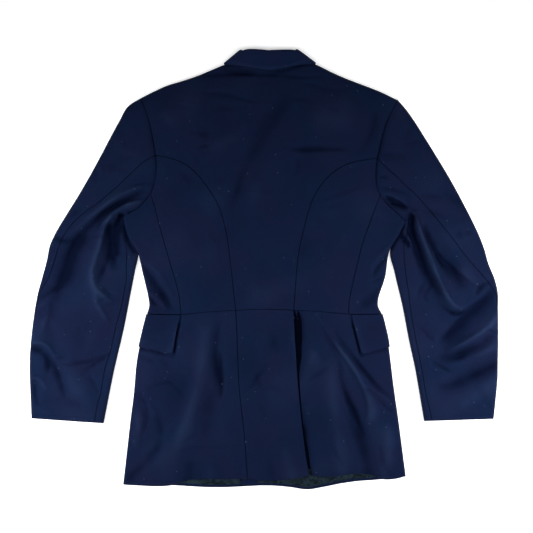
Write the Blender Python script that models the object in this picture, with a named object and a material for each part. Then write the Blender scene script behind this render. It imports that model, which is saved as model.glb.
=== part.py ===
"""Military dress tunic of navy wool, laid flat on a surface with its back up.

X runs across the garment with the wearer's left at -X, Y runs from hem to collar, and Z runs up from
the surface it lies on. Each piece of cloth is a closed wall between two grids of points, one on its
outer face and one on its inner face. A grid's plan comes from the seam lines that bound the piece, and
its heights come from one height function that all pieces share, so that neighbours meet at their seams.
Lengths are in millimetres up to the moment when a mesh is made, which is in metres.
"""

import math

import bmesh
import bpy
import numpy as np

METRES = 0.001

# Walls, in millimetres.
BACK_WALL = 2.2
FRONT_WALL = 2.8
SLEEVE_WALL = 2.2
FLAP_WALL = 1.8
LINING_WALL = 1.0
UNDERLAY_WALL = 1.4
COLLAR_FALL = 2.2

# Clearances between pieces.
LAYER_GAP = 0.3
LAP_GAP = 0.7
SEAM_INSET = 0.16
WAIST_INSET = 0.25
ARMHOLE_INSET = 0.6
SLEEVE_INSET = 0.3
FLAP_GAP = 0.45

# Heights of the upper face above the surface where the cloth lies smooth.
BODY_TOP = 9.0
SLEEVE_TOP = 8.0
FOLD_REACH = 4.2
NECK_FOLD_REACH = 2.4
COLLAR_REACH = 5.0
ROLL_WALL = 2.0
LEAST_INNER_GAP = 0.15
NECK_LIFT = COLLAR_FALL + LAYER_GAP
FLAP_LIFT = FLAP_WALL + FLAP_GAP
PLEAT_LIFT = UNDERLAY_WALL + LAYER_GAP
PLEAT_EDGE_LIFT = 0.8
COLLAR_TOP = 13.8
LEAST_TOP = 6.4

# Where the cloth is raised over what lies beneath, from none at the first value to all at the second.
MIDDLE_X = 10.0
NECK_RAMP_Y = (180.0, 250.0)
NECK_RAMP_X = (180.0, 120.0)
LEAF_RAMP_Y = (205.0, 275.0)
LEAF_RAMP_X = (160.0, 100.0)
FLAP_RAMP_X = (70.0, 98.0)
FLAP_RAMP_Y = (-205.0, -178.0)
PLEAT_RAMP_X = (62.0, 30.0)
PLEAT_RAMP_Y = (-45.0, -76.0)
LINING_RAMP_Y = (-320.0, -345.0)

# The fronts lap past the middle, the left one outside and so lowest.
FRONT_LAP = 42.0
LAP_RAMP = (100.0, 65.0)
LINING_HEM_MARGIN = 5.0
LINING_RECESS = LINING_WALL + LAYER_GAP
UNDERLAY_HALF_WIDTH = 24.0
UNDERLAY_WAIST_MARGIN = 1.0
UNDERLAY_HEM_MARGIN = 12.0
FLAP_WAIST_MARGIN = 1.5

# How many steps each direction of a piece is divided into.
SEAM_STEPS = 12
UPPER_ARMHOLE_STEPS = 5
MIDDLE_ARMHOLE_STEPS = 4
ARC_STEPS = 5
QUARTER_STEPS = 3
SLEEVE_ROWS = 22
SKIRT_ROWS = 12
FLAP_ROWS = 4
FLAP_TOP_COLUMNS = 4
FLAP_BOTTOM_COLUMNS = 6
SKIRT_COLUMNS = 8
BACK_SKIRT_COLUMNS = 6
UNDERLAY_COLUMNS = 4
FRONT_COLUMNS = 10
FRONT_EDGE_STEPS = 14
FRONT_NECK_STEPS = 7
SHOULDER_COLUMNS = 6
NECK_COLUMNS = 9
COLLAR_COLUMNS = 16
LEAF_COLUMNS = 5
COLLAR_MIDDLE = (10.0, 350.0)
SPLINE_STEPS = 16
ARMHOLE_END_POINTS = 10
SLEEVE_SAMPLES = 60
ROW_SAMPLES = 10

# A sleeve's rows fan out round the armpit: shares of its outer edge, and of its inner edge.
ARMPIT_PACE = ((0.0, 0.1, 0.3, 0.45, 1.0), (0.0, 0.008, 0.04, 0.185, 1.0))
ARMHOLE_FADING = 8.0

# Steps round a sleeve: on the under sleeve up to near the hind seam and past it, and on the top sleeve
# to the outer fold, round it, back below, round the inner fold and up to the fore seam.
UNDER_SLEEVE_STEPS = (9, 3)
TOP_SLEEVE_STEPS = (4, 4, 3, 4, 2)
FORE_SEAM_RANGE = (0.05, 0.3)
HIND_SEAM_LIMIT = 0.96
HIND_SEAM_MISS = 6.0
HIND_SEAM_STEP = 0.125

# The collar from its free edge to its roll: share of the way, thickness, and depth of its outer face
# below the flat of the fall.
COLLAR_SECTION = (
    (0.0, COLLAR_FALL, 0.0),
    (0.1, COLLAR_FALL, 0.0),
    (0.33, COLLAR_FALL, 0.0),
    (0.48, 4.7, 0.0),
    (0.75, 4.7, 0.0),
    (0.93, 4.7, 0.45),
    (1.0, 4.7, 1.6),
)

# Seam and edge lines of each side. Every row is a place on the line: x, y.
LINES = {
    "left": {
        "shoulder": ((-228, 316), (-185, 337), (-150, 348), (-118, 359), (-82, 375)),
        "armhole": (
            (-228, 316),
            (-212, 272),
            (-201, 215),
            (-199, 184),
            (-207, 143),
            (-231, 113),
            (-261, 95),
        ),
        "princess": (
            (-52, -76),
            (-62, 12),
            (-69, 64),
            (-86, 121),
            (-118, 168),
            (-140, 190),
            (-168, 203),
            (-200, 209),
        ),
        "side_seam": ((-153, -85), (-159, -40), (-181, 36), (-200, 105), (-209, 138)),
        "body_edge": (
            (-217, -84),
            (-213, -62),
            (-226, -3),
            (-234, 29),
            (-250, 55),
            (-258, 79),
            (-261, 95),
        ),
        "skirt_edge": ((-216, -84), (-227, -129), (-236, -174), (-241, -229), (-248, -285), (-261, -400)),
        "pleat": ((-52, -77), (-50, -115), (-46, -215), (-37, -299), (-30, -389)),
        "back_hem": ((-30, -389), (-79, -390), (-135, -391), (-172, -401), (-198, -403), (-261, -400)),
        "front_hem": ((42, -404), (11, -402), (-89, -406), (-172, -402), (-261, -400)),
        "front_neck": ((42, 300), (8, 299), (-33, 303), (-51, 326), (-62, 350), (-72, 375)),
        "sleeve_outer": (
            (-228, 316),
            (-249, 304),
            (-270, 270),
            (-330, 159),
            (-391, 57),
            (-405, 4),
            (-418, -41),
            (-427, -91),
            (-434, -160),
            (-434, -205),
            (-431, -278),
        ),
        "sleeve_inner": (
            (-263.5, 96.5),
            (-259.5, 79),
            (-251.5, 55),
            (-235.5, 29),
            (-239, -1),
            (-248, -52),
            (-260, -114),
            (-278, -191),
            (-297, -287),
        ),
        "hind_seam": (
            (-200, 211),
            (-231, 189),
            (-288, 138),
            (-341, 96),
            (-366, 71),
            (-384, 24),
            (-397, -11),
            (-413, -50),
            (-423, -85),
        ),
        "fore_seam": ((-268, 98), (-266, 76), (-256, 45), (-254, 10), (-257, -43), (-285, -152), (-314, -281)),
        "collar_edge": ((-75, 380), (-36, 373), (11, 365)),
        "collar_roll": ((-43, 407), (-25, 407), (9, 404)),
        "leaf_edge": ((-75, 380), (-68, 335), (-42, 290)),
        "leaf_roll": ((-43, 407), (-28, 362), (3, 324)),
        "flap_end": ((-154, -86), (-161, -114), (-168, -156)),
        "flap_foot": ((-168, -156), (-176, -159), (-188, -155), (-208, -150), (-231, -146)),
        "flap_front_end": ((-122, -86), (-116, -114), (-110, -158)),
        "flap_front_foot": ((-110, -158), (-120, -161), (-140, -156), (-185, -148), (-231, -146)),
    },
    "right": {
        "shoulder": ((247, 312), (219, 326), (192, 337), (163, 348), (136, 359), (102, 375)),
        "armhole": (
            (247, 312),
            (236, 290),
            (224, 263),
            (210, 207),
            (207, 182),
            (208, 155),
            (215, 135),
            (230, 116),
            (263, 86),
        ),
        "princess": (
            (55, -76),
            (62, 12),
            (67, 44),
            (84, 112),
            (98, 142),
            (116, 167),
            (144, 189),
            (175, 199),
            (210, 204),
        ),
        "side_seam": ((157, -83), (159, -53), (181, 41), (206, 112), (215, 135)),
        "body_edge": ((219, -84), (211, -62), (225, -15), (229, 15), (234, 36), (249, 60), (263, 86)),
        "skirt_edge": ((218, -84), (229, -129), (235, -174), (242, -229), (250, -285), (263, -385)),
        "pleat": ((57, -78), (65, -114), (65, -199), (71, -276), (80, -326), (88, -383)),
        "back_hem": ((88, -383), (126, -386), (153, -381), (193, -381), (227, -391), (263, -385)),
        "front_hem": ((-42, -403), (11, -402), (59, -406), (88, -409), (160, -396), (220, -391), (263, -385)),
        "front_neck": ((-42, 300), (12, 299), (54, 303), (73, 326), (84, 350), (94, 376)),
        "sleeve_outer": (
            (247, 312),
            (265, 292),
            (281, 270),
            (349, 159),
            (400, 59),
            (418, 4),
            (432, -31),
            (434, -62),
            (434, -174),
            (432, -218),
            (426, -279),
        ),
        "sleeve_inner": (
            (266.0, 88.5),
            (250.5, 60),
            (235.5, 34),
            (239.5, 8),
            (247, -29),
            (257, -71),
            (270, -139),
            (280, -184),
            (297, -283),
        ),
        "hind_seam": (
            (209, 204),
            (239, 176),
            (292, 124),
            (341, 65),
            (384, 10),
            (403, -14),
            (419, -32),
            (428, -63),
            (431, -90),
        ),
        "fore_seam": ((270, 88), (264, 66), (260, 40), (260, 1), (268, -53), (292, -191), (312, -281)),
        "collar_edge": ((97, 381), (64, 376), (33, 369), (11, 365)),
        "collar_roll": ((61, 408), (43, 406), (9, 404)),
        "leaf_edge": ((97, 381), (90, 335), (64, 290)),
        "leaf_roll": ((61, 408), (48, 362), (17, 324)),
        "flap_end": ((161, -86), (169, -114), (180, -157)),
        "flap_foot": ((180, -157), (186, -159), (207, -152), (233, -146)),
        "flap_front_end": ((124, -86), (118, -114), (112, -158)),
        "flap_front_foot": ((112, -158), (122, -161), (142, -156), (187, -148), (233, -146)),
    },
}
CENTRE_PLEAT_RIGHT = ((55, -77), (58, -132), (62, -199), (68, -265), (76, -334), (84, -383))
CENTRE_HEM = ((-30, -389), (11, -393), (59, -388), (84, -383))
WAIST = (
    (-217, -84),
    (-153, -85),
    (-115, -81),
    (-52, -77),
    (2, -75),
    (56, -77),
    (98, -79),
    (157, -84),
    (219, -84),
)
NECK = (
    (-72.5, 375.5),
    (-60, 380.5),
    (-36, 378),
    (11, 370.5),
    (40, 373.5),
    (64, 380),
    (82, 382.5),
    (94.5, 376.2),
)

# Broad rises of the upper face: x, y, reach across, reach along, height.
RISES = (
    (-195, 285, 55, 55, 6.0),
    (208, 280, 55, 55, 6.0),
    (-255, 85, 22, 30, 1.2),
    (257, 78, 22, 30, 1.2),
    (-340, 20, 60, 80, 1.5),
    (350, 10, 60, 80, 1.5),
)

# Largest folds of the cloth: start x, y, middle x, y, end x, y, half-width, height (a trough is below 0).
FOLDS = (
    (61, 306, 2, 225, -65, 155, 22, -0.9),
    (-227, 138, -275, 116, -344, 55, 8, -2.8),
    (-218, 158, -263, 134, -320, 100, 12, 4.0),
    (-250, 105, -288, 86, -307, 46, 11, 6.5),
    (-307, 46, -316, 9, -298, -75, 13, 4.5),
    (-266, 90, -276, 64, -281, 46, 7, -1.5),
    (-385, -10, -364, 7, -335, 5, 16, -1.6),
    (-420, -150, -390, -160, -340, -135, 12, 1.8),
    (215, 138, 241, 125, 267, 114, 7, -2.6),
    (226, 112, 252, 105, 274, 101, 10, 4.5),
    (274, 97, 285, 68, 317, 5, 12, 6.5),
    (317, 5, 335, -43, 361, -78, 13, 4.5),
    (298, 81, 331, 25, 354, -30, 9, -2.6),
    (322, -156, 363, -108, 418, -75, 11, -2.4),
    (326, -182, 372, -141, 418, -123, 13, 3.4),
    (339, -206, 381, -184, 418, -169, 10, -2.0),
    (-79, -156, -84, -196, -83, -236, 16, -1.0),
    (98, -100, 163, -165, 222, -236, 13, 2.2),
)

NAVY = (0.0098, 0.0168, 0.0497, 1.0)
LINING_GREY = (0.030, 0.045, 0.052, 1.0)
WOOL_ROUGHNESS = 0.85
SATIN_ROUGHNESS = 0.42


def clear_scene():
    for item in list(bpy.data.objects):
        bpy.data.objects.remove(item)


def make_material(name, colour, roughness):
    material = bpy.data.materials.new(name)
    material.use_nodes = True
    shader = material.node_tree.nodes["Principled BSDF"]
    shader.inputs["Base Color"].default_value = colour
    shader.inputs["Roughness"].default_value = roughness
    shader.inputs["Metallic"].default_value = 0.0
    return material


# Lines and grids in plan


def resample(points, count):
    """count + 1 points at equal steps along a polyline."""
    steps = np.hypot(*np.diff(points, axis=0).T)
    run = np.concatenate(([0.0], np.cumsum(steps)))
    wanted = np.linspace(0.0, run[-1], count + 1)
    return np.stack([np.interp(wanted, run, points[:, axis]) for axis in range(2)], axis=1)


def dense_line(rows):
    """A smooth line through the rows, as closely spaced points."""
    rows = np.array(rows, float)
    ends = np.vstack((2 * rows[0] - rows[1], rows, 2 * rows[-1] - rows[-2]))
    share = np.linspace(0.0, 1.0, SPLINE_STEPS, endpoint=False)[:, None]
    stretches = []
    for before, start, end, after in zip(ends, ends[1:], ends[2:], ends[3:]):
        linear = (end - before) * share
        square = (2 * before - 5 * start + 4 * end - after) * share**2
        cube = (3 * start - before - 3 * end + after) * share**3
        stretches.append(0.5 * (2 * start + linear + square + cube))
    return np.vstack(stretches + [rows[-1:]])


def smooth_line(rows, count):
    return resample(dense_line(rows), count)


def stretch(line, start, end, count):
    """count + 1 points on the part of a dense line between the places nearest to start and end."""
    first = int(np.argmin(np.hypot(*(line - start).T)))
    last = int(np.argmin(np.hypot(*(line - end).T)))
    if first <= last:
        return resample(line[first : last + 1], count)
    return resample(line[last : first + 1][::-1], count)


def moved_end(line, end):
    """The line with its last point at end, eased in over the points just before it."""
    share = np.linspace(0.0, 1.0, len(line))[:, None]
    return line + share**8 * (end - line[-1])


def joined(first, second):
    """Two lines in one, where the second starts at the first one's end."""
    return np.vstack((first, second[1:]))


def patch(foot, head, left, right, fading=1.0):
    """A grid filled in between four lines. left and right run from foot to head.

    The foot's own bend fades towards the head by the power given.
    """
    up = np.linspace(0.0, 1.0, len(left))[:, None, None]
    across = np.linspace(0.0, 1.0, len(foot))[None, :, None]
    ruled_across = (1 - across) * left[:, None] + across * right[:, None]
    foot_bend = foot[None] - (1 - across) * left[0] - across * right[0]
    head_bend = head[None] - (1 - across) * left[-1] - across * right[-1]
    return ruled_across + (1 - up) ** fading * foot_bend + up * head_bend


def drawn_in(grid, foot=0.0, head=0.0, left=0.0, right=0.0):
    """The grid with its edges moved in by the given distances."""
    grid = grid.copy()
    for edge, next_row, distance in ((0, 1, foot), (-1, -2, head)):
        inward = grid[next_row] - grid[edge]
        grid[edge] += distance * inward / np.linalg.norm(inward, axis=-1, keepdims=True)
    for edge, next_column, distance in ((0, 1, left), (-1, -2, right)):
        inward = grid[:, next_column] - grid[:, edge]
        grid[:, edge] += distance * inward / np.linalg.norm(inward, axis=-1, keepdims=True)
    return grid


def outward_of(line, inside):
    """Unit directions square to a line, away from a point inside the piece."""
    along = np.gradient(line, axis=0)
    square = np.stack((along[:, 1], -along[:, 0]), axis=1)
    square /= np.linalg.norm(square, axis=1, keepdims=True)
    side = np.sign(np.sum(square * (line - inside), axis=1, keepdims=True))
    return square * side


# Heights


def fold_shape(x, y, fold):
    """How far one fold lifts the cloth at each place."""
    bend = np.array(fold[:6], float).reshape(3, 2)
    share = np.linspace(0.0, 1.0, 9)[:, None]
    middle = 2 * bend[1] - 0.5 * (bend[0] + bend[2])
    line = (1 - share) ** 2 * bend[0] + 2 * share * (1 - share) * middle + share**2 * bend[2]
    nearest = np.full(np.shape(x), np.inf)
    place = np.zeros(np.shape(x))
    for number, (start, end) in enumerate(zip(line, line[1:])):
        run = end - start
        part = ((x - start[0]) * run[0] + (y - start[1]) * run[1]) / (run @ run)
        part = np.clip(part, 0.0, 1.0)
        distance = np.hypot(x - start[0] - part * run[0], y - start[1] - part * run[1])
        closer = distance < nearest
        nearest = np.where(closer, distance, nearest)
        place = np.where(closer, (number + part) / (len(line) - 1), place)
    taper = 0.45 + 0.55 * np.sin(math.pi * place)
    return fold[7] * taper * np.exp(-((nearest / fold[6]) ** 2))


def ramp(value, limits):
    """0 at or beyond the first limit, 1 at or beyond the second, and smooth between."""
    share = np.clip((value - limits[0]) / (limits[1] - limits[0]), 0.0, 1.0)
    return share * share * (3 - 2 * share)


def waist_y(x):
    line = dense_line(WAIST)
    return np.interp(x, line[:, 0], line[:, 1])


def pleat_rise(x, y):
    """The lift of a skirt over the underlay behind each pleat."""
    rise = np.zeros(np.shape(x))
    for side in ("left", "right"):
        rows = np.array(LINES[side]["pleat"], float)[::-1]
        pleat_x = np.interp(y, rows[:, 1], rows[:, 0])
        rise = np.maximum(rise, ramp(np.abs(x - pleat_x), PLEAT_RAMP_X))
    return PLEAT_LIFT * rise * ramp(y, PLEAT_RAMP_Y)


def rise_shape(x, y, row):
    """How far one broad rise lifts the cloth at each place."""
    centre_x, centre_y, reach_x, reach_y, rise = row
    return rise * np.exp(-(((x - centre_x) / reach_x) ** 2) - ((y - centre_y) / reach_y) ** 2)


def top_height(plan, base):
    """Height of the garment's upper face over the surface."""
    x, y = plan[..., 0], plan[..., 1]
    height = np.full(x.shape, base)
    for row in RISES:
        height += rise_shape(x, y, row)
    for fold in FOLDS:
        height += fold_shape(x, y, fold)
    height += NECK_LIFT * ramp(y, NECK_RAMP_Y) * ramp(np.abs(x - MIDDLE_X), NECK_RAMP_X)
    return np.maximum(height + pleat_rise(x, y), LEAST_TOP)


def lap_rise(x, side):
    """The lift of the right front, which lies over the left one in the middle."""
    if side == "left":
        return np.zeros(np.shape(x))
    return (FRONT_WALL + LAP_GAP) * ramp(x, LAP_RAMP)


def front_height(plan, side):
    """Height of a front's outer face, below: it is raised over the collar leaves and the other front."""
    x, y = plan[..., 0], plan[..., 1]
    over_collar = NECK_LIFT * ramp(y, LEAF_RAMP_Y) * ramp(np.abs(x - MIDDLE_X), LEAF_RAMP_X)
    return over_collar + lap_rise(x, side)


def skirt_front_height(plan, side):
    """Height of a skirt's outer face, below: it is raised over the flap and the other front."""
    x, y = plan[..., 0], plan[..., 1]
    over_flap = ramp(np.abs(x), FLAP_RAMP_X) * ramp(y, FLAP_RAMP_Y)
    return FLAP_LIFT * over_flap + lap_rise(x, side)


def back_floor(places):
    """The lowest that a back's inner face may lie over the fronts."""
    x = places[..., 0]
    left = front_height(places, "left")
    right = np.where(x > -FRONT_LAP - 25, front_height(places, "right"), 0.0)
    return np.maximum(left, right) + FRONT_WALL + LAYER_GAP


def raised(plan, height):
    return np.concatenate((plan, np.broadcast_to(height, plan.shape[:-1])[..., None]), axis=-1)


# Walls


def make_wall(name, outer, inner, material):
    """A closed wall between an outer and an inner grid of the same size."""
    rows, columns = outer.shape[:2]
    size = rows * columns
    places = np.concatenate((outer.reshape(-1, 3), inner.reshape(-1, 3)))
    index = np.arange(size).reshape(rows, columns)
    quads = []
    for row in range(rows - 1):
        for column in range(columns - 1):
            corners = (
                index[row, column],
                index[row, column + 1],
                index[row + 1, column + 1],
                index[row + 1, column],
            )
            quads.append(corners)
            quads.append([corner + size for corner in reversed(corners)])
    rim = list(index[0]) + list(index[1:, -1]) + list(index[-1, -2::-1]) + list(index[-2:0:-1, 0])
    for start, end in zip(rim, rim[1:] + rim[:1]):
        quads.append((end, start, start + size, end + size))
    return make_object(name, places, quads, material)


def make_object(name, places, quads, material):
    shape = bmesh.new()
    corners = [shape.verts.new(place * METRES) for place in places]
    for quad in quads:
        shape.faces.new([corners[number] for number in quad])
    bmesh.ops.recalc_face_normals(shape, faces=shape.faces)
    mesh = bpy.data.meshes.new(name)
    shape.to_mesh(mesh)
    shape.free()
    mesh.shade_smooth()
    mesh.set_sharp_from_angle(angle=math.radians(50))
    mesh.materials.append(material)
    item = bpy.data.objects.new(name, mesh)
    bpy.context.scene.collection.objects.link(item)
    return item


def arc_points(flat_edge, outward, top, foot, reach, angles):
    """Points round a fold of half-ellipse section, for each row of the flat edge."""
    middle = (top + foot) / 2
    half = (top - foot) / 2
    sine = np.sin(angles)[None, :, None]
    reach = np.broadcast_to(reach, top.shape)[:, None, None]
    plan = flat_edge[:, None] + reach * sine * outward[:, None]
    height = middle[:, None] + half[:, None] * np.cos(angles)[None]
    return np.concatenate((plan, height[..., None]), axis=-1)


def wrapped_wall(name, top_plan, bottom_plan, outward, heights, walls, material, reach=FOLD_REACH):
    """A piece that lies on top, turns round a side fold and goes on below.

    Both plans have a row for each step along the fold. top_plan's last column and bottom_plan's first
    one are the flat edges of the fold. heights holds the outer faces' heights on both plans, and walls
    the thickness on both.
    """
    top_outer, bottom_outer = heights
    top_wall, bottom_wall = walls
    top_inner, bottom_inner = top_outer - top_wall, bottom_outer + bottom_wall
    angles = np.linspace(0.0, math.pi, ARC_STEPS + 1)[1:-1]
    edge = top_plan[:, -1]
    outer_arc = arc_points(edge, outward, top_outer[:, -1], bottom_outer[:, 0], reach, angles)
    inner_arc = arc_points(edge, outward, top_inner[:, -1], bottom_inner[:, 0], reach - top_wall, angles)
    outer = (raised(top_plan, top_outer), outer_arc, raised(bottom_plan, bottom_outer))
    inner = (raised(top_plan, top_inner), inner_arc, raised(bottom_plan, bottom_inner))
    return make_wall(name, np.concatenate(outer, axis=1), np.concatenate(inner, axis=1), material)


def rolled_head(plan, outward, reach, outer_height, inner_height, middle, wall):
    """Outer and inner grids of a piece whose head turns over to the fold's middle height."""
    outer, inner = [raised(plan, outer_height)], [raised(plan, inner_height)]
    for angle in np.linspace(0.0, math.pi / 2, QUARTER_STEPS + 1)[1:]:
        for grids, height, distance in ((outer, outer_height, reach), (inner, inner_height, reach - wall)):
            turned = plan[-1] + (distance * math.sin(angle))[:, None] * outward
            grids.append(raised(turned, middle + (height[-1] - middle) * math.cos(angle))[None])
    return np.concatenate(outer), np.concatenate(inner)


def line_set(side):
    """The side's lines, with the seams that end on the armhole moved onto it."""
    lines = {name: dense_line(rows) for name, rows in LINES[side].items()}
    armhole = lines["armhole"]
    for name in ("princess", "side_seam", "hind_seam"):
        line = lines[name][::-1] if name == "hind_seam" else lines[name]
        nearest = armhole[np.argmin(np.hypot(*(armhole - line[-1]).T))]
        line = moved_end(line, nearest)
        lines[name] = line[::-1] if name == "hind_seam" else line
    return lines


def on_waist(start_x, end_x, count):
    """Points along the waist seam."""
    x = np.linspace(start_x, end_x, count + 1)
    return np.stack((x, waist_y(x)), axis=1)


def side_fold(edge):
    """The flat edge beside a side fold and its outward directions, square to the waist seam at its start."""
    outward = outward_of(edge, np.array((0.0, edge[:, 1].mean())))
    outward[0] = (np.sign(edge[0, 0]), 0.0)
    flat_edge = edge - FOLD_REACH * outward
    flat_edge[0, 1] = waist_y(flat_edge[0, 0])
    return flat_edge, outward


def shoulder_fold(shoulder):
    """The flat edge beside a shoulder's fold, and its outward directions."""
    outward = outward_of(shoulder, np.array((0.0, 200.0)))
    return shoulder - FOLD_REACH * outward, outward


def make_back(lines, cloth):
    """The centre back and the two side backs, from the waist seam up to the shoulders and armholes."""
    sides, folds = {}, {}
    for side in ("left", "right"):
        own = lines[side]
        shoulder = resample(own["shoulder"], SHOULDER_COLUMNS)[:-1]
        folds[side] = shoulder_fold(shoulder)
        princess = resample(own["princess"], SEAM_STEPS)
        princess[0, 1] = waist_y(princess[0, 0])
        upper = stretch(own["armhole"], princess[-1], own["armhole"][0], UPPER_ARMHOLE_STEPS)
        sides[side] = joined(princess, moved_end(upper, folds[side][0][0]))
    neck = smooth_line(NECK, NECK_COLUMNS)
    neck_outward = np.tile((0.0, 1.0), (len(neck), 1))
    neck_outward[0] = folds["left"][1][-1]
    neck_outward[-1] = folds["right"][1][-1]
    flat_head = np.vstack((folds["left"][0], neck, folds["right"][0][::-1]))
    outward = np.vstack((folds["left"][1], neck_outward, folds["right"][1][::-1]))
    reach = np.full(len(flat_head), FOLD_REACH)
    reach[len(folds["left"][0]) : -len(folds["right"][0])] = NECK_FOLD_REACH
    foot = on_waist(sides["left"][0, 0], sides["right"][0, 0], len(flat_head) - 1)
    plan = patch(foot, flat_head, sides["left"], sides["right"])
    plan = drawn_in(plan, foot=WAIST_INSET, left=SEAM_INSET, right=SEAM_INSET)
    for edge, next_column in ((0, 1), (-1, -2)):
        inward = plan[SEAM_STEPS:, next_column] - plan[SEAM_STEPS:, edge]
        inward /= np.linalg.norm(inward, axis=-1, keepdims=True)
        plan[SEAM_STEPS:, edge] += (ARMHOLE_INSET - SEAM_INSET) * inward
    height = top_height(plan, BODY_TOP)
    inner_height = np.maximum(height - BACK_WALL - shoulder_pad(plan), back_floor(plan) + LEAST_INNER_GAP)
    middle = shoulder_middle(plan[-1]) + LAYER_GAP / 2
    outer, inner = rolled_head(plan, outward, reach, height, inner_height, middle, ROLL_WALL)
    make_wall("back_centre", outer, inner, cloth)
    for side in ("left", "right"):
        own = lines[side]
        princess = resample(own["princess"], SEAM_STEPS)
        princess[0, 1] = waist_y(princess[0, 0])
        seam = resample(own["side_seam"], SEAM_STEPS)
        seam[0, 1] = waist_y(seam[0, 0])
        head = stretch(own["armhole"], seam[-1], princess[-1], MIDDLE_ARMHOLE_STEPS)
        foot = on_waist(seam[0, 0], princess[0, 0], MIDDLE_ARMHOLE_STEPS)
        plan = patch(foot, head, seam, princess)
        plan = drawn_in(plan, WAIST_INSET, ARMHOLE_INSET, SEAM_INSET, SEAM_INSET)
        height = top_height(plan, BODY_TOP)
        make_wall(f"back_side_{side}", raised(plan, height), raised(plan, height - BACK_WALL), cloth)


def shoulder_pad(plan):
    """Thickness of the padding inside the cloth at the shoulders."""
    return sum(rise_shape(plan[..., 0], plan[..., 1], row) for row in RISES[:2])


def shoulder_middle(plan):
    """Height where the back meets a front, half-way down the shoulder's fold."""
    return 0.5 * BODY_TOP + 0.5 * front_height(plan, "left")


def make_side_panels(lines, cloth):
    """The panel under each arm, from the side-back seam round the fold to the front's side seam."""
    for side in ("left", "right"):
        own = lines[side]
        seam = resample(own["side_seam"], SEAM_STEPS)
        seam[0, 1] = waist_y(seam[0, 0])
        flat_edge, outward = side_fold(resample(own["body_edge"], SEAM_STEPS))
        armhole = stretch(own["armhole"], seam[-1], own["body_edge"][-1], MIDDLE_ARMHOLE_STEPS)
        head = moved_end(armhole, flat_edge[-1])
        foot = on_waist(seam[0, 0], flat_edge[0, 0], MIDDLE_ARMHOLE_STEPS)
        plan = patch(foot, head, seam, flat_edge)
        plan = drawn_in(plan, foot=WAIST_INSET, head=ARMHOLE_INSET, left=SEAM_INSET)
        below = plan[:, ::-1]
        heights = (top_height(plan, BODY_TOP), np.zeros(below.shape[:2]))
        wrapped_wall(f"side_{side}", plan, below, outward, heights, (BACK_WALL, FRONT_WALL), cloth)


def make_fronts(lines, cloth):
    """The two fronts, which lie below with their outer faces down, from waist seam to shoulder."""
    for side in ("left", "right"):
        own = lines[side]
        seam = resample(own["side_seam"], SEAM_STEPS)
        seam[0, 1] = waist_y(seam[0, 0])
        shoulder = resample(own["shoulder"], FRONT_COLUMNS)
        flat_head, outward = shoulder_fold(shoulder)
        reach = np.full(len(shoulder), FOLD_REACH)
        flat_head[-1] = own["front_neck"][-1]
        reach[-1] = NECK_FOLD_REACH
        armhole = stretch(own["armhole"], seam[-1], shoulder[0], MIDDLE_ARMHOLE_STEPS + UPPER_ARMHOLE_STEPS)
        outside = joined(seam, moved_end(armhole, flat_head[0]))
        lap_x = own["front_neck"][0][0]
        front_edge = resample(np.array(((lap_x, waist_y(lap_x)), own["front_neck"][0])), FRONT_EDGE_STEPS)
        edge = joined(front_edge, resample(own["front_neck"], FRONT_NECK_STEPS))
        plan = patch(on_waist(seam[0, 0], lap_x, FRONT_COLUMNS), flat_head, outside, edge)
        plan = drawn_in(plan, foot=WAIST_INSET, left=ARMHOLE_INSET)
        height = front_height(plan, side)
        middle = shoulder_middle(plan[-1]) - LAYER_GAP / 2
        outer, inner = rolled_head(plan, outward, reach, height, height + FRONT_WALL, middle, ROLL_WALL)
        make_wall(f"front_{side}", outer, inner, cloth)


def make_skirts(lines, cloth, satin):
    """The centre back skirt, each side skirt round to the front edge, and what lies on the skirts."""
    left_pleat = resample(lines["left"]["pleat"], SKIRT_ROWS)
    right_pleat = smooth_line(CENTRE_PLEAT_RIGHT, SKIRT_ROWS)
    waist = on_waist(left_pleat[0, 0], right_pleat[0, 0], BACK_SKIRT_COLUMNS)
    hem = moved_end(smooth_line(CENTRE_HEM, BACK_SKIRT_COLUMNS), right_pleat[-1])
    plan = patch(waist, hem, left_pleat, right_pleat)
    plan = drawn_in(plan, foot=WAIST_INSET, left=SEAM_INSET, right=SEAM_INSET)
    height = top_height(plan, BODY_TOP) + PLEAT_EDGE_LIFT
    make_wall("skirt_back", raised(plan, height), raised(plan, height - BACK_WALL), cloth)
    for side in ("left", "right"):
        own = lines[side]
        pleat = resample(own["pleat"], SKIRT_ROWS)
        pleat[0, 1] = waist_y(pleat[0, 0])
        flat_edge, outward = side_fold(resample(own["skirt_edge"], SKIRT_ROWS))
        hem = moved_end(resample(own["back_hem"], SKIRT_COLUMNS), flat_edge[-1])
        waist = on_waist(pleat[0, 0], flat_edge[0, 0], SKIRT_COLUMNS)
        top_plan = patch(waist, hem, pleat, flat_edge)
        top_plan = drawn_in(top_plan, foot=WAIST_INSET, left=SEAM_INSET)
        lap_x = own["front_hem"][0][0]
        front_edge = resample(np.array(((lap_x, waist_y(lap_x)), own["front_hem"][0])), SKIRT_ROWS)
        front_hem = moved_end(resample(own["front_hem"], FRONT_COLUMNS), flat_edge[-1])
        waist = on_waist(lap_x, flat_edge[0, 0], FRONT_COLUMNS)
        bottom_plan = patch(waist, front_hem, front_edge, flat_edge)[:, ::-1]
        bottom_plan = drawn_in(bottom_plan, foot=WAIST_INSET)
        bottom_height = skirt_front_height(bottom_plan, side)
        recess = LINING_RECESS * ramp(bottom_plan[..., 1], LINING_RAMP_Y)
        heights = (top_height(top_plan, BODY_TOP), bottom_height)
        walls = (BACK_WALL, FRONT_WALL - recess)
        wrapped_wall(f"skirt_{side}", top_plan, bottom_plan, outward, heights, walls, cloth)
        make_lining(side, bottom_plan, bottom_height, satin)
        make_underlay(side, pleat, cloth)
        make_flap(side, own, flat_edge, outward, cloth)


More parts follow.
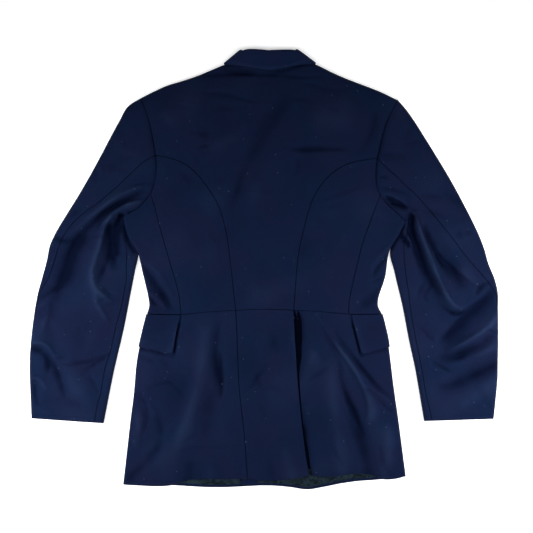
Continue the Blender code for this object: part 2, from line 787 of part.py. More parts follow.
def make_lining(side, skirt_plan, skirt_height, satin):
    """The satin inside a front's hem, on the thinner strip of the skirt."""
    plan = skirt_plan[-3:, 1:-1]
    plan = drawn_in(plan, foot=LINING_HEM_MARGIN, head=LINING_HEM_MARGIN)
    low = skirt_height[-3:, 1:-1] + FRONT_WALL - LINING_WALL
    make_wall(f"lining_{side}", raised(plan, low + LINING_WALL), raised(plan, low), satin)


def make_underlay(side, pleat, cloth):
    """The hidden layer behind a pleat, which shows where the pleat stands open."""
    offsets = np.linspace(-UNDERLAY_HALF_WIDTH, UNDERLAY_HALF_WIDTH, UNDERLAY_COLUMNS + 1)
    plan = pleat[:, None] + np.stack((offsets, np.zeros_like(offsets)), axis=1)[None]
    plan[0, :, 1] = waist_y(plan[0, :, 0]) - UNDERLAY_WAIST_MARGIN
    plan[-1, :, 1] += UNDERLAY_HEM_MARGIN
    top = top_height(plan, BODY_TOP) - BACK_WALL - LAYER_GAP
    make_wall(f"pleat_underlay_{side}", raised(plan, top), raised(plan, top - UNDERLAY_WALL), cloth)


def at_heights(values, falling_y, wanted_y):
    """Values along a line that runs down, at the wanted places."""
    return np.stack([np.interp(-wanted_y, -falling_y, values[:, axis]) for axis in range(2)], axis=1)


def make_flap(side, own, skirt_edge, skirt_outward, cloth):
    """A pocket flap that hangs from the waist seam, round the side fold and on below."""
    foot_y = own["flap_foot"][-1, 1]
    y = np.linspace(skirt_edge[0, 1] - FLAP_WAIST_MARGIN, foot_y, FLAP_ROWS + 1)
    edge = at_heights(skirt_edge, skirt_edge[:, 1], y)
    outward = at_heights(skirt_outward, skirt_edge[:, 1], y)
    plans = []
    for line, columns in (("flap", FLAP_TOP_COLUMNS), ("flap_front", FLAP_BOTTOM_COLUMNS)):
        end = resample(own[f"{line}_end"], FLAP_ROWS)
        foot = moved_end(resample(own[f"{line}_foot"], columns), edge[-1])
        head = on_waist(end[0, 0], edge[0, 0], columns)
        head[:, 1] -= FLAP_WAIST_MARGIN
        end[0] = head[0]
        plans.append(patch(head, foot, end, edge))
    top_plan, bottom_plan = plans[0], plans[1][:, ::-1]
    heights = (top_height(top_plan, BODY_TOP) + FLAP_LIFT, np.zeros(bottom_plan.shape[:2]))
    walls = (FLAP_WALL, FLAP_WALL)
    reach = FOLD_REACH + FLAP_LIFT
    wrapped_wall(f"flap_{side}", top_plan, bottom_plan, outward, heights, walls, cloth, reach)


# Collar


def collar_grid(edge, roll, shares):
    """A grid from the collar's free edge to its roll."""
    return edge[None] * (1 - shares[:, None, None]) + roll[None] * shares[:, None, None]


def make_collar(lines, cloth):
    """The collar's fall behind the neck, turned round both sides into a leaf on each front."""
    shares, thickness, easing = np.array(COLLAR_SECTION).T
    sides, outwards, leaves = {}, {}, {}
    for side in ("left", "right"):
        own = lines[side]
        start, end = own["collar_edge"][0], own["collar_roll"][0]
        side_line = start + shares[:, None] * (end - start)
        outwards[side] = outward_of(side_line, np.array(COLLAR_MIDDLE))
        sides[side] = side_line - COLLAR_REACH * outwards[side]
        leaf_edge = moved_end(resample(own["leaf_edge"], LEAF_COLUMNS)[::-1], sides[side][0])[::-1]
        leaf_roll = moved_end(resample(own["leaf_roll"], LEAF_COLUMNS)[::-1], sides[side][-1])[::-1]
        leaves[side] = collar_grid(leaf_edge, leaf_roll, shares)
    edges = []
    for name, row in (("collar_edge", 0), ("collar_roll", -1)):
        line = resample(joined(lines["left"][name], lines["right"][name][::-1]), COLLAR_COLUMNS)
        line = moved_end(line, sides["right"][row])
        edges.append(moved_end(line[::-1], sides["left"][row])[::-1])
    top_plan = collar_grid(*edges, shares)
    angles = np.linspace(0.0, math.pi, ARC_STEPS + 1)[1:-1]
    grids = []
    for depth in (easing, thickness - easing):
        arcs = {}
        for side in ("left", "right"):
            reach = COLLAR_REACH - depth
            arcs[side] = arc_points(sides[side], outwards[side], COLLAR_TOP - depth, depth, reach, angles)
        pieces = (
            raised(leaves["left"][:, ::-1], depth[:, None]),
            arcs["left"][:, ::-1],
            raised(top_plan, COLLAR_TOP - depth[:, None]),
            arcs["right"],
            raised(leaves["right"], depth[:, None]),
        )
        grids.append(np.concatenate(pieces, axis=1))
    make_wall("collar", grids[0], grids[1], cloth)


# Sleeves


def seam_places(dense_plan, seam):
    """For each row of a grid, the share of its width where it meets a seam, and how far off it is."""
    shares, misses = [], []
    for row in dense_plan:
        distance = np.hypot(*(row[:, None] - seam[None]).transpose(2, 0, 1)).min(axis=1)
        nearest = int(np.argmin(distance))
        shares.append(nearest / (len(row) - 1))
        misses.append(distance[nearest])
    return np.array(shares), np.array(misses)


def ring_grids(turns, dense_plan, edges, outwards):
    """Outer and inner grids round a sleeve, where turns holds each row's places on the ring.

    0 to 1 is the upper face from the inner edge to the outer one, 1 to 2 the outer fold, 2 to 3 the lower
    face back to the inner edge, 3 to 4 the inner fold, and from 4 the upper face again.
    """
    shares = np.linspace(0.0, 1.0, dense_plan.shape[1])
    upper = top_height(dense_plan, SLEEVE_TOP)
    grids = []
    for depth in (0.0, SLEEVE_WALL):
        grid = np.zeros(turns.shape + (3,))
        for row, places in enumerate(turns):
            plan = [np.interp(ring_share(places), shares, dense_plan[row, :, axis]) for axis in range(2)]
            top = np.interp(ring_share(places), shares, upper[row]) - depth
            height = np.where((places > 2) & (places < 3), depth, top)
            points = np.stack((*plan, height), axis=1)
            for start, name, column in ((1, "outer", -1), (3, "inner", 0)):
                on_fold = (places >= start) & (places <= start + 1)
                angle = math.pi * (places[on_fold] - start)
                angle = angle if start == 1 else math.pi - angle
                arc = arc_points(
                    edges[name][row : row + 1],
                    outwards[name][row : row + 1],
                    upper[row : row + 1, column] - depth,
                    np.array((depth,)),
                    FOLD_REACH - depth,
                    angle,
                )
                points[on_fold] = arc[0]
            grid[row] = points
        grids.append(grid)
    return grids


def ring_share(places):
    """The share of a sleeve's width at a place on its ring."""
    return np.interp(places, (0, 1, 2, 3, 4, 5), (0, 1, 1, 0, 0, 1))


def spread(knots, counts):
    """Places on each row between that row's knots, with a number of steps for each stretch."""
    columns = [knots[0][:, None]]
    for start, end, count in zip(knots, knots[1:], counts):
        part = np.linspace(0.0, 1.0, count + 1)[None, 1:]
        columns.append(start[:, None] + part * (end - start)[:, None])
    return np.concatenate(columns, axis=1)


def make_sleeves(lines, cloth):
    """Two-piece sleeves: the under sleeve lies on top here, and the top sleeve goes round below."""
    for side in ("left", "right"):
        own = lines[side]
        outer_edge = resample(own["sleeve_outer"], SLEEVE_ROWS)
        inner_line = resample(own["sleeve_inner"], SLEEVE_ROWS * ROW_SAMPLES)
        pace = np.interp(np.linspace(0.0, 1.0, SLEEVE_ROWS + 1), *ARMPIT_PACE)
        picks = np.round(pace * (len(inner_line) - 1)).astype(int)
        inner_edge = inner_line[picks]
        outwards = {
            "outer": outward_of(outer_edge, inner_edge),
            "inner": outward_of(inner_edge, outer_edge),
        }
        seam_end = own["armhole"][0] - own["armhole"][ARMHOLE_END_POINTS]
        outwards["outer"][0] = seam_end / np.hypot(*seam_end)
        edges = {
            "outer": outer_edge - FOLD_REACH * outwards["outer"],
            "inner": inner_edge - FOLD_REACH * outwards["inner"],
        }
        armhole = stretch(own["armhole"], edges["inner"][0], edges["outer"][0], SLEEVE_SAMPLES)
        armhole = moved_end(moved_end(armhole, edges["outer"][0])[::-1], edges["inner"][0])[::-1]
        cuff = resample(np.array((edges["inner"][-1], edges["outer"][-1])), SLEEVE_SAMPLES)
        dense_plan = patch(armhole, cuff, edges["inner"], edges["outer"], ARMHOLE_FADING)
        hind, missed = seam_places(dense_plan, own["hind_seam"])
        fore, _ = seam_places(dense_plan, own["fore_seam"])
        fore = np.clip(fore, *FORE_SEAM_RANGE)
        gone = np.maximum.accumulate((hind > HIND_SEAM_LIMIT) | (missed > HIND_SEAM_MISS))
        over_fold = np.minimum(1.0 + HIND_SEAM_STEP * (np.cumsum(gone) - 1), 1.5)
        hind = np.where(gone, over_fold, np.minimum(hind, HIND_SEAM_LIMIT))
        before_hind = np.minimum(1.0, hind - 0.03)
        after_hind = np.maximum(1.0, hind + 0.1)
        ones = np.ones(SLEEVE_ROWS + 1)
        under_turns = spread((fore, before_hind, hind), UNDER_SLEEVE_STEPS)
        top_knots = (hind, after_hind, 2 * ones, 3 * ones, 4 * ones, 4 + fore)
        top_turns = spread(top_knots, TOP_SLEEVE_STEPS)
        for name, turns in (("under", under_turns), ("top", top_turns)):
            outer, inner = ring_grids(turns, dense_plan, edges, outwards)
            insets = dict(foot=ARMHOLE_INSET, left=SLEEVE_INSET, right=SLEEVE_INSET)
            outer, inner = drawn_in(outer, **insets), drawn_in(inner, **insets)
            make_wall(f"{name}_sleeve_{side}", outer, inner, cloth)


def centre_on_origin():
    """Moves every piece so that the middle of the whole garment's foot is the origin."""
    items = list(bpy.context.scene.collection.objects)
    corners = np.array([corner.co for item in items for corner in item.data.vertices])
    middle = (corners.min(axis=0) + corners.max(axis=0)) / 2
    for item in items:
        for corner in item.data.vertices:
            corner.co.x -= middle[0]
            corner.co.y -= middle[1]


def main():
    clear_scene()
    cloth = make_material("navy_wool", NAVY, WOOL_ROUGHNESS)
    satin = make_material("lining_satin", LINING_GREY, SATIN_ROUGHNESS)
    lines = {side: line_set(side) for side in LINES}
    make_back(lines, cloth)
    make_side_panels(lines, cloth)
    make_fronts(lines, cloth)
    make_skirts(lines, cloth, satin)
    make_collar(lines, cloth)
    make_sleeves(lines, cloth)
    centre_on_origin()


main()
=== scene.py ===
"""A navy wool dress tunic, laid flat with its back up.

Every piece of cloth is cut between the same seam lines as its solid, then laid on a finer grid that gets
creases and rolled edges, and at last a weave and lint. Lengths are in millimetres up to the moment when a
mesh is made, and in metres in the settings, the materials and the stage.
"""

import math

import bpy
import numpy as np
from bpy.props import FloatProperty, FloatVectorProperty, PointerProperty
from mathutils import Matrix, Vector


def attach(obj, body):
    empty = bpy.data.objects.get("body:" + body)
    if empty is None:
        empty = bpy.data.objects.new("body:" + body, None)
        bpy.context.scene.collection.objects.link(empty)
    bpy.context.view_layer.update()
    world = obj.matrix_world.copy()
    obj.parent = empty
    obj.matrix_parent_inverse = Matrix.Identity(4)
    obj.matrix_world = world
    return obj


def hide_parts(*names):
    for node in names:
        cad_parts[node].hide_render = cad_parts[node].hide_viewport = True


bl_info = {
    "name": "Dress tunic, laid flat",
    "version": (1, 0, 0),
    "blender": (4, 5, 0),
    "location": "View3D > Sidebar > Tunic",
    "description": "Navy wool dress tunic with collar, seamed waist, pleated skirt and pocket flaps",
    "category": "Object",
}

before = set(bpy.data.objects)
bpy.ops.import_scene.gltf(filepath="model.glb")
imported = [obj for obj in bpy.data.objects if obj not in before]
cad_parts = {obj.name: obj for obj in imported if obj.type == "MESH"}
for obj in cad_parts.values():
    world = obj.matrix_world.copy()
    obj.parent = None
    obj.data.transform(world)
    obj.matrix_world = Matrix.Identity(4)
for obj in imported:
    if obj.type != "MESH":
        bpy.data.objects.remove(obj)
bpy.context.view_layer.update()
METRES = 0.001
MILLIMETRES = 1000

# The middle of the drawn lines' outline, which is moved to the origin.
CENTRE = (-0.107, -1.425)

# Thickness of each wall.
BACK_WALL = 2.2
FRONT_WALL = 2.8
SLEEVE_WALL = 2.2
FLAP_WALL = 1.8
LINING_WALL = 1.0
UNDERLAY_WALL = 1.4
COLLAR_FALL = 2.2

# Clearances between pieces. An inset below 0 laps the cloth over its neighbour.
LAYER_GAP = 0.3
LAP_GAP = 0.7
SEAM_INSET = 0.06
WAIST_INSET = -0.14
ARMHOLE_INSET = 0.1
SLEEVE_INSET = -0.05
SLEEVE_HEAD_INSET = -0.6
UNDER_ARM_INSET = -1.1
FLAP_GAP = 0.45

# Heights of the upper face above the surface, where the cloth lies smooth and at the least.
BODY_TOP = 9.0
SLEEVE_TOP = 8.0
COLLAR_TOP = 13.8
LEAST_TOP = 6.4

# How far a fold turns out past the flat cloth, its wall there, and the lift of cloth over what it covers.
FOLD_REACH = 4.2
NECK_FOLD_REACH = 2.4
COLLAR_REACH = 5.0
ROLL_WALL = 2.0
LEAST_INNER_GAP = 0.15
NECK_LIFT = COLLAR_FALL + LAYER_GAP
FLAP_LIFT = FLAP_WALL + FLAP_GAP
PLEAT_LIFT = UNDERLAY_WALL + LAYER_GAP
PLEAT_EDGE_LIFT = 0.8

# Where the cloth is raised over what lies beneath, from none at the first value to all at the second.
MIDDLE_X = 10.0
NECK_RAMP_Y = (180.0, 250.0)
NECK_RAMP_X = (180.0, 120.0)
LEAF_RAMP_Y = (205.0, 275.0)
LEAF_RAMP_X = (160.0, 100.0)
FLAP_RAMP_X = (70.0, 98.0)
FLAP_RAMP_Y = (-205.0, -178.0)
PLEAT_RAMP_X = (62.0, 30.0)
PLEAT_RAMP_Y = (-45.0, -76.0)
LINING_RAMP_Y = (-320.0, -345.0)

# The fronts lap past the middle, the left one outside and so lowest.
FRONT_LAP = 42.0
LAP_MARGIN = 25.0
LAP_RAMP = (100.0, 65.0)

# The small pieces at the hem, behind the pleats and on the waist.
LINING_ROWS = 3
LINING_HEM_MARGIN = 5.0
LINING_RECESS = LINING_WALL + LAYER_GAP
UNDERLAY_HALF_WIDTH = 24.0
UNDERLAY_WAIST_MARGIN = 1.0
UNDERLAY_HEM_MARGIN = 12.0
FLAP_WAIST_MARGIN = 0.4

# How many steps each direction of a piece is divided into.
SEAM_STEPS = 12
UPPER_ARMHOLE_STEPS = 5
MIDDLE_ARMHOLE_STEPS = 4
ARC_STEPS = 5
QUARTER_STEPS = 3
SLEEVE_ROWS = 22
SKIRT_ROWS = 12
FLAP_ROWS = 4
FLAP_TOP_COLUMNS = 4
FLAP_BOTTOM_COLUMNS = 6
SKIRT_COLUMNS = 8
BACK_SKIRT_COLUMNS = 6
UNDERLAY_COLUMNS = 4
FRONT_COLUMNS = 10
FRONT_EDGE_STEPS = 14
FRONT_NECK_STEPS = 7
SHOULDER_COLUMNS = 6
NECK_COLUMNS = 9
COLLAR_COLUMNS = 16
LEAF_COLUMNS = 5
SPLINE_STEPS = 16
FOLD_STEPS = 8
ARMHOLE_END_POINTS = 10
SLEEVE_SAMPLES = 60
ROW_SAMPLES = 10

# How late a line bends towards its moved end, and places inside the collar and the body.
END_EASING = 8
COLLAR_MIDDLE = (10.0, 350.0)
SHOULDER_MIDDLE = (0.0, 200.0)

# A sleeve's rows fan out round the armpit: shares of its outer edge, and of its inner edge.
ARMPIT_PACE = ((0.0, 0.1, 0.3, 0.45, 1.0), (0.0, 0.008, 0.04, 0.185, 1.0))
ARMHOLE_FADING = 8.0

# Steps round a sleeve: on the under sleeve up to near the hind seam and past it, and on the top sleeve
# to the outer fold, round it, back below, round the inner fold and up to the fore seam.
UNDER_SLEEVE_STEPS = (9, 3)
TOP_SLEEVE_STEPS = (4, 4, 3, 4, 2)

# Where the two seams of a sleeve may lie on its ring, and how the hind one runs on round the outer fold.
FORE_SEAM_RANGE = (0.05, 0.3)
HIND_SEAM_LIMIT = 0.96
HIND_SEAM_MISS = 6.0
HIND_SEAM_STEP = 0.125
HIND_SEAM_END = 1.5
HIND_SEAM_BEFORE = 0.03
HIND_SEAM_AFTER = 0.1

# The collar from its free edge to its roll: share of the way, thickness, and depth of its outer face
# below the flat of the fall.
COLLAR_SECTION = (
    (0.0, COLLAR_FALL, 0.0),
    (0.1, COLLAR_FALL, 0.0),
    (0.33, COLLAR_FALL, 0.0),
    (0.48, 4.7, 0.0),
    (0.75, 4.7, 0.0),
    (0.93, 4.7, 0.45),
    (1.0, 4.7, 1.6),
)

# The finer grids: where the upper side's cells and creases begin and are whole, rows of points close to
# each edge, the lower side's cells as a multiple of the upper side's, the least number of cells, the part of
# a short piece that an edge's rows may take (one in so many), and which turns of an edge are sharp corners.
LOWER_PIECES = ("front_left", "front_right", "lining_left", "lining_right")
UPPER_FROM, UPPER_FULL = 4.0, 6.3
EDGE_LOOPS = (0.3, 0.7, 1.2, 1.9)
LOWER_CELL = 2.0
LEAST_CELLS = 3
EDGE_PART = 3
CORNER_TURN = math.radians(20)
CORNER_RISE = 0.35
CORNER_REACH = 2
SMOOTH_ANGLE = math.radians(58)
EDGE_NOTE_LIMIT = 40

# Creases: steps along one, how far it reaches in half-widths, how its height and width fall at its ends, the
# uneven swells along it (share, turns, and turns for each millimetre of its start), and how low it may press.
CREASE_STEPS = 18
CREASE_REACH = 3
CREASE_END_POWER = 0.8
CREASE_END_WIDTH = 0.75
CREASE_SWELLS = ((0.16, 9.1, 0.7), (0.08, 23.0, 1.0))
SOFT_FOLD, SHARP_FOLD = 2.0, 1.5
FOLD_END_SHARE = 0.45
LEAST_FOLDED_HEIGHT = 3.6
LEAST_ROOM = 0.01
FOLDED_WALL = 0.3
PRESSED_POWER = 4

# Slight waves of the whole cloth.
WAVE_COUNT = 26
WAVE_LENGTHS = (45.0, 190.0)
WAVE_SEED = 11

# Seam and edge lines of each side. Every row is a place on the line: x, y.
LINES = {
    "left": {
        "shoulder": ((-228, 316), (-185, 337), (-150, 348), (-118, 359), (-82, 375)),
        "armhole": (
            (-228, 316), (-212, 272), (-201, 215), (-199, 184), (-207, 143), (-231, 113), (-261, 95),
        ),
        "princess": (
            (-52, -76), (-62, 12), (-69, 64), (-86, 121), (-118, 168), (-140, 190), (-168, 203),
            (-200, 209),
        ),
        "side_seam": ((-153, -85), (-159, -40), (-181, 36), (-200, 105), (-209, 138)),
        "body_edge": ((-217, -84), (-213, -62), (-226, -3), (-234, 29), (-250, 55), (-258, 79), (-261, 95)),
        "skirt_edge": ((-216, -84), (-227, -129), (-236, -174), (-241, -229), (-248, -285), (-261, -400)),
        "pleat": ((-52, -77), (-50, -115), (-46, -215), (-37, -299), (-30, -389)),
        "back_hem": ((-30, -389), (-79, -390), (-135, -391), (-172, -401), (-198, -403), (-261, -400)),
        "front_hem": ((42, -404), (11, -402), (-89, -406), (-172, -402), (-261, -400)),
        "front_neck": ((42, 300), (8, 299), (-33, 303), (-51, 326), (-62, 350), (-72, 375)),
        "sleeve_outer": (
            (-228, 316), (-249, 304), (-270, 270), (-330, 159), (-391, 57), (-405, 4), (-418, -41),
            (-427, -91), (-434, -160), (-434, -205), (-431, -278),
        ),
        "sleeve_inner": (
            (-262.0, 95.0), (-256.0, 78), (-247.5, 54), (-233.0, 28), (-238, -1), (-248, -52), (-260, -114),
            (-278, -191), (-297, -287),
        ),
        "hind_seam": (
            (-200, 211), (-231, 189), (-288, 138), (-341, 96), (-366, 71), (-384, 24), (-397, -11),
            (-413, -50), (-423, -85),
        ),
        "fore_seam": (
            (-268, 98), (-266, 76), (-256, 45), (-254, 10), (-257, -43), (-285, -152), (-314, -281),
        ),
        "collar_edge": ((-75, 380), (-36, 373), (11, 365)),
        "collar_roll": ((-43, 407), (-25, 407), (9, 404)),
        "leaf_edge": ((-75, 380), (-68, 335), (-42, 290)),
        "leaf_roll": ((-43, 407), (-28, 362), (3, 324)),
        "flap_end": ((-154, -86), (-161, -114), (-168, -156)),
        "flap_foot": ((-168, -156), (-176, -159), (-188, -155), (-208, -150), (-231, -146)),
        "flap_front_end": ((-122, -86), (-116, -114), (-110, -158)),
        "flap_front_foot": ((-110, -158), (-120, -161), (-140, -156), (-185, -148), (-231, -146)),
    },
    "right": {
        "shoulder": ((247, 312), (219, 326), (192, 337), (163, 348), (136, 359), (102, 375)),
        "armhole": (
            (247, 312), (236, 290), (224, 263), (210, 207), (207, 182), (208, 155), (215, 135), (230, 116),
            (263, 86),
        ),
        "princess": (
            (55, -76), (62, 12), (67, 44), (84, 112), (98, 142), (116, 167), (144, 189), (175, 199),
            (210, 204),
        ),
        "side_seam": ((157, -83), (159, -53), (181, 41), (206, 112), (215, 135)),
        "body_edge": ((219, -84), (211, -62), (225, -15), (229, 15), (234, 36), (249, 60), (263, 86)),
        "skirt_edge": ((218, -84), (229, -129), (235, -174), (242, -229), (250, -285), (263, -385)),
        "pleat": ((57, -78), (65, -114), (65, -199), (71, -276), (80, -326), (88, -383)),
        "back_hem": ((88, -383), (126, -386), (153, -381), (193, -381), (227, -391), (263, -385)),
        "front_hem": (
            (-42, -403), (11, -402), (59, -406), (88, -409), (160, -396), (220, -391), (263, -385),
        ),
        "front_neck": ((-42, 300), (12, 299), (54, 303), (73, 326), (84, 350), (94, 376)),
        "sleeve_outer": (
            (247, 312), (265, 292), (281, 270), (349, 159), (400, 59), (418, 4), (432, -31), (434, -62),
            (434, -174), (432, -218), (426, -279),
        ),
        "sleeve_inner": (
            (263.3, 87.4), (247.0, 58), (233.0, 33), (238.5, 8), (247, -29), (257, -71), (270, -139),
            (280, -184), (297, -283),
        ),
        "hind_seam": (
            (209, 204), (239, 176), (292, 124), (341, 65), (384, 10), (403, -14), (419, -32), (428, -63),
            (431, -90),
        ),
        "fore_seam": ((270, 88), (264, 66), (260, 40), (260, 1), (268, -53), (292, -191), (312, -281)),
        "collar_edge": ((97, 381), (64, 376), (33, 369), (11, 365)),
        "collar_roll": ((61, 408), (43, 406), (9, 404)),
        "leaf_edge": ((97, 381), (90, 335), (64, 290)),
        "leaf_roll": ((61, 408), (48, 362), (17, 324)),
        "flap_end": ((161, -86), (169, -114), (180, -157)),
        "flap_foot": ((180, -157), (186, -159), (207, -152), (233, -146)),
        "flap_front_end": ((124, -86), (118, -114), (112, -158)),
        "flap_front_foot": ((112, -158), (122, -161), (142, -156), (187, -148), (233, -146)),
    },
}
CENTRE_PLEAT_RIGHT = ((55, -77), (58, -132), (62, -199), (68, -265), (76, -334), (84, -383))
CENTRE_HEM = ((-30, -389), (11, -393), (59, -388), (84, -383))
WAIST = (
    (-217, -84), (-153, -85), (-115, -81), (-52, -77), (2, -75), (56, -77), (98, -79), (157, -84),
    (219, -84),
)
NECK = (
    (-72.5, 375.5), (-60, 380.5), (-36, 378), (11, 370.5), (40, 373.5), (64, 380), (82, 382.5),
    (94.5, 376.2),
)

# Broad rises of the upper face: x, y, reach across, reach along, height. The first two are the shoulder pads.
RISES = (
    (-195, 285, 55, 55, 6.0),
    (208, 280, 55, 55, 6.0),
    (-255, 85, 22, 30, 1.2),
    (257, 78, 22, 30, 1.2),
    (-340, 20, 60, 80, 1.5),
    (350, 10, 60, 80, 1.5),
)

# Largest folds of the cloth: start x, y, middle x, y, end x, y, half-width, height (a trough is below 0).
FOLDS = (
    (61, 306, 2, 225, -65, 155, 22, -0.9),
    (-227, 138, -275, 116, -344, 55, 8, -2.8),
    (-218, 158, -263, 134, -320, 100, 12, 4.0),
    (-250, 105, -288, 86, -307, 46, 11, 6.5),
    (-307, 46, -316, 9, -298, -75, 13, 4.5),
    (-266, 90, -276, 64, -281, 46, 7, -1.5),
    (-385, -10, -364, 7, -335, 5, 16, -1.6),
    (-420, -150, -390, -160, -340, -135, 12, 1.8),
    (215, 138, 241, 125, 267, 114, 7, -2.6),
    (226, 112, 252, 105, 274, 101, 10, 4.5),
    (274, 97, 285, 68, 317, 5, 12, 6.5),
    (317, 5, 335, -43, 361, -78, 13, 4.5),
    (298, 81, 331, 25, 354, -30, 9, -2.6),
    (322, -156, 363, -108, 418, -75, 11, -2.4),
    (326, -182, 372, -141, 418, -123, 13, 3.4),
    (339, -206, 381, -184, 418, -169, 10, -2.0),
    (-79, -156, -84, -196, -83, -236, 16, -1.0),
    (98, -100, 163, -165, 222, -236, 13, 2.2),
)

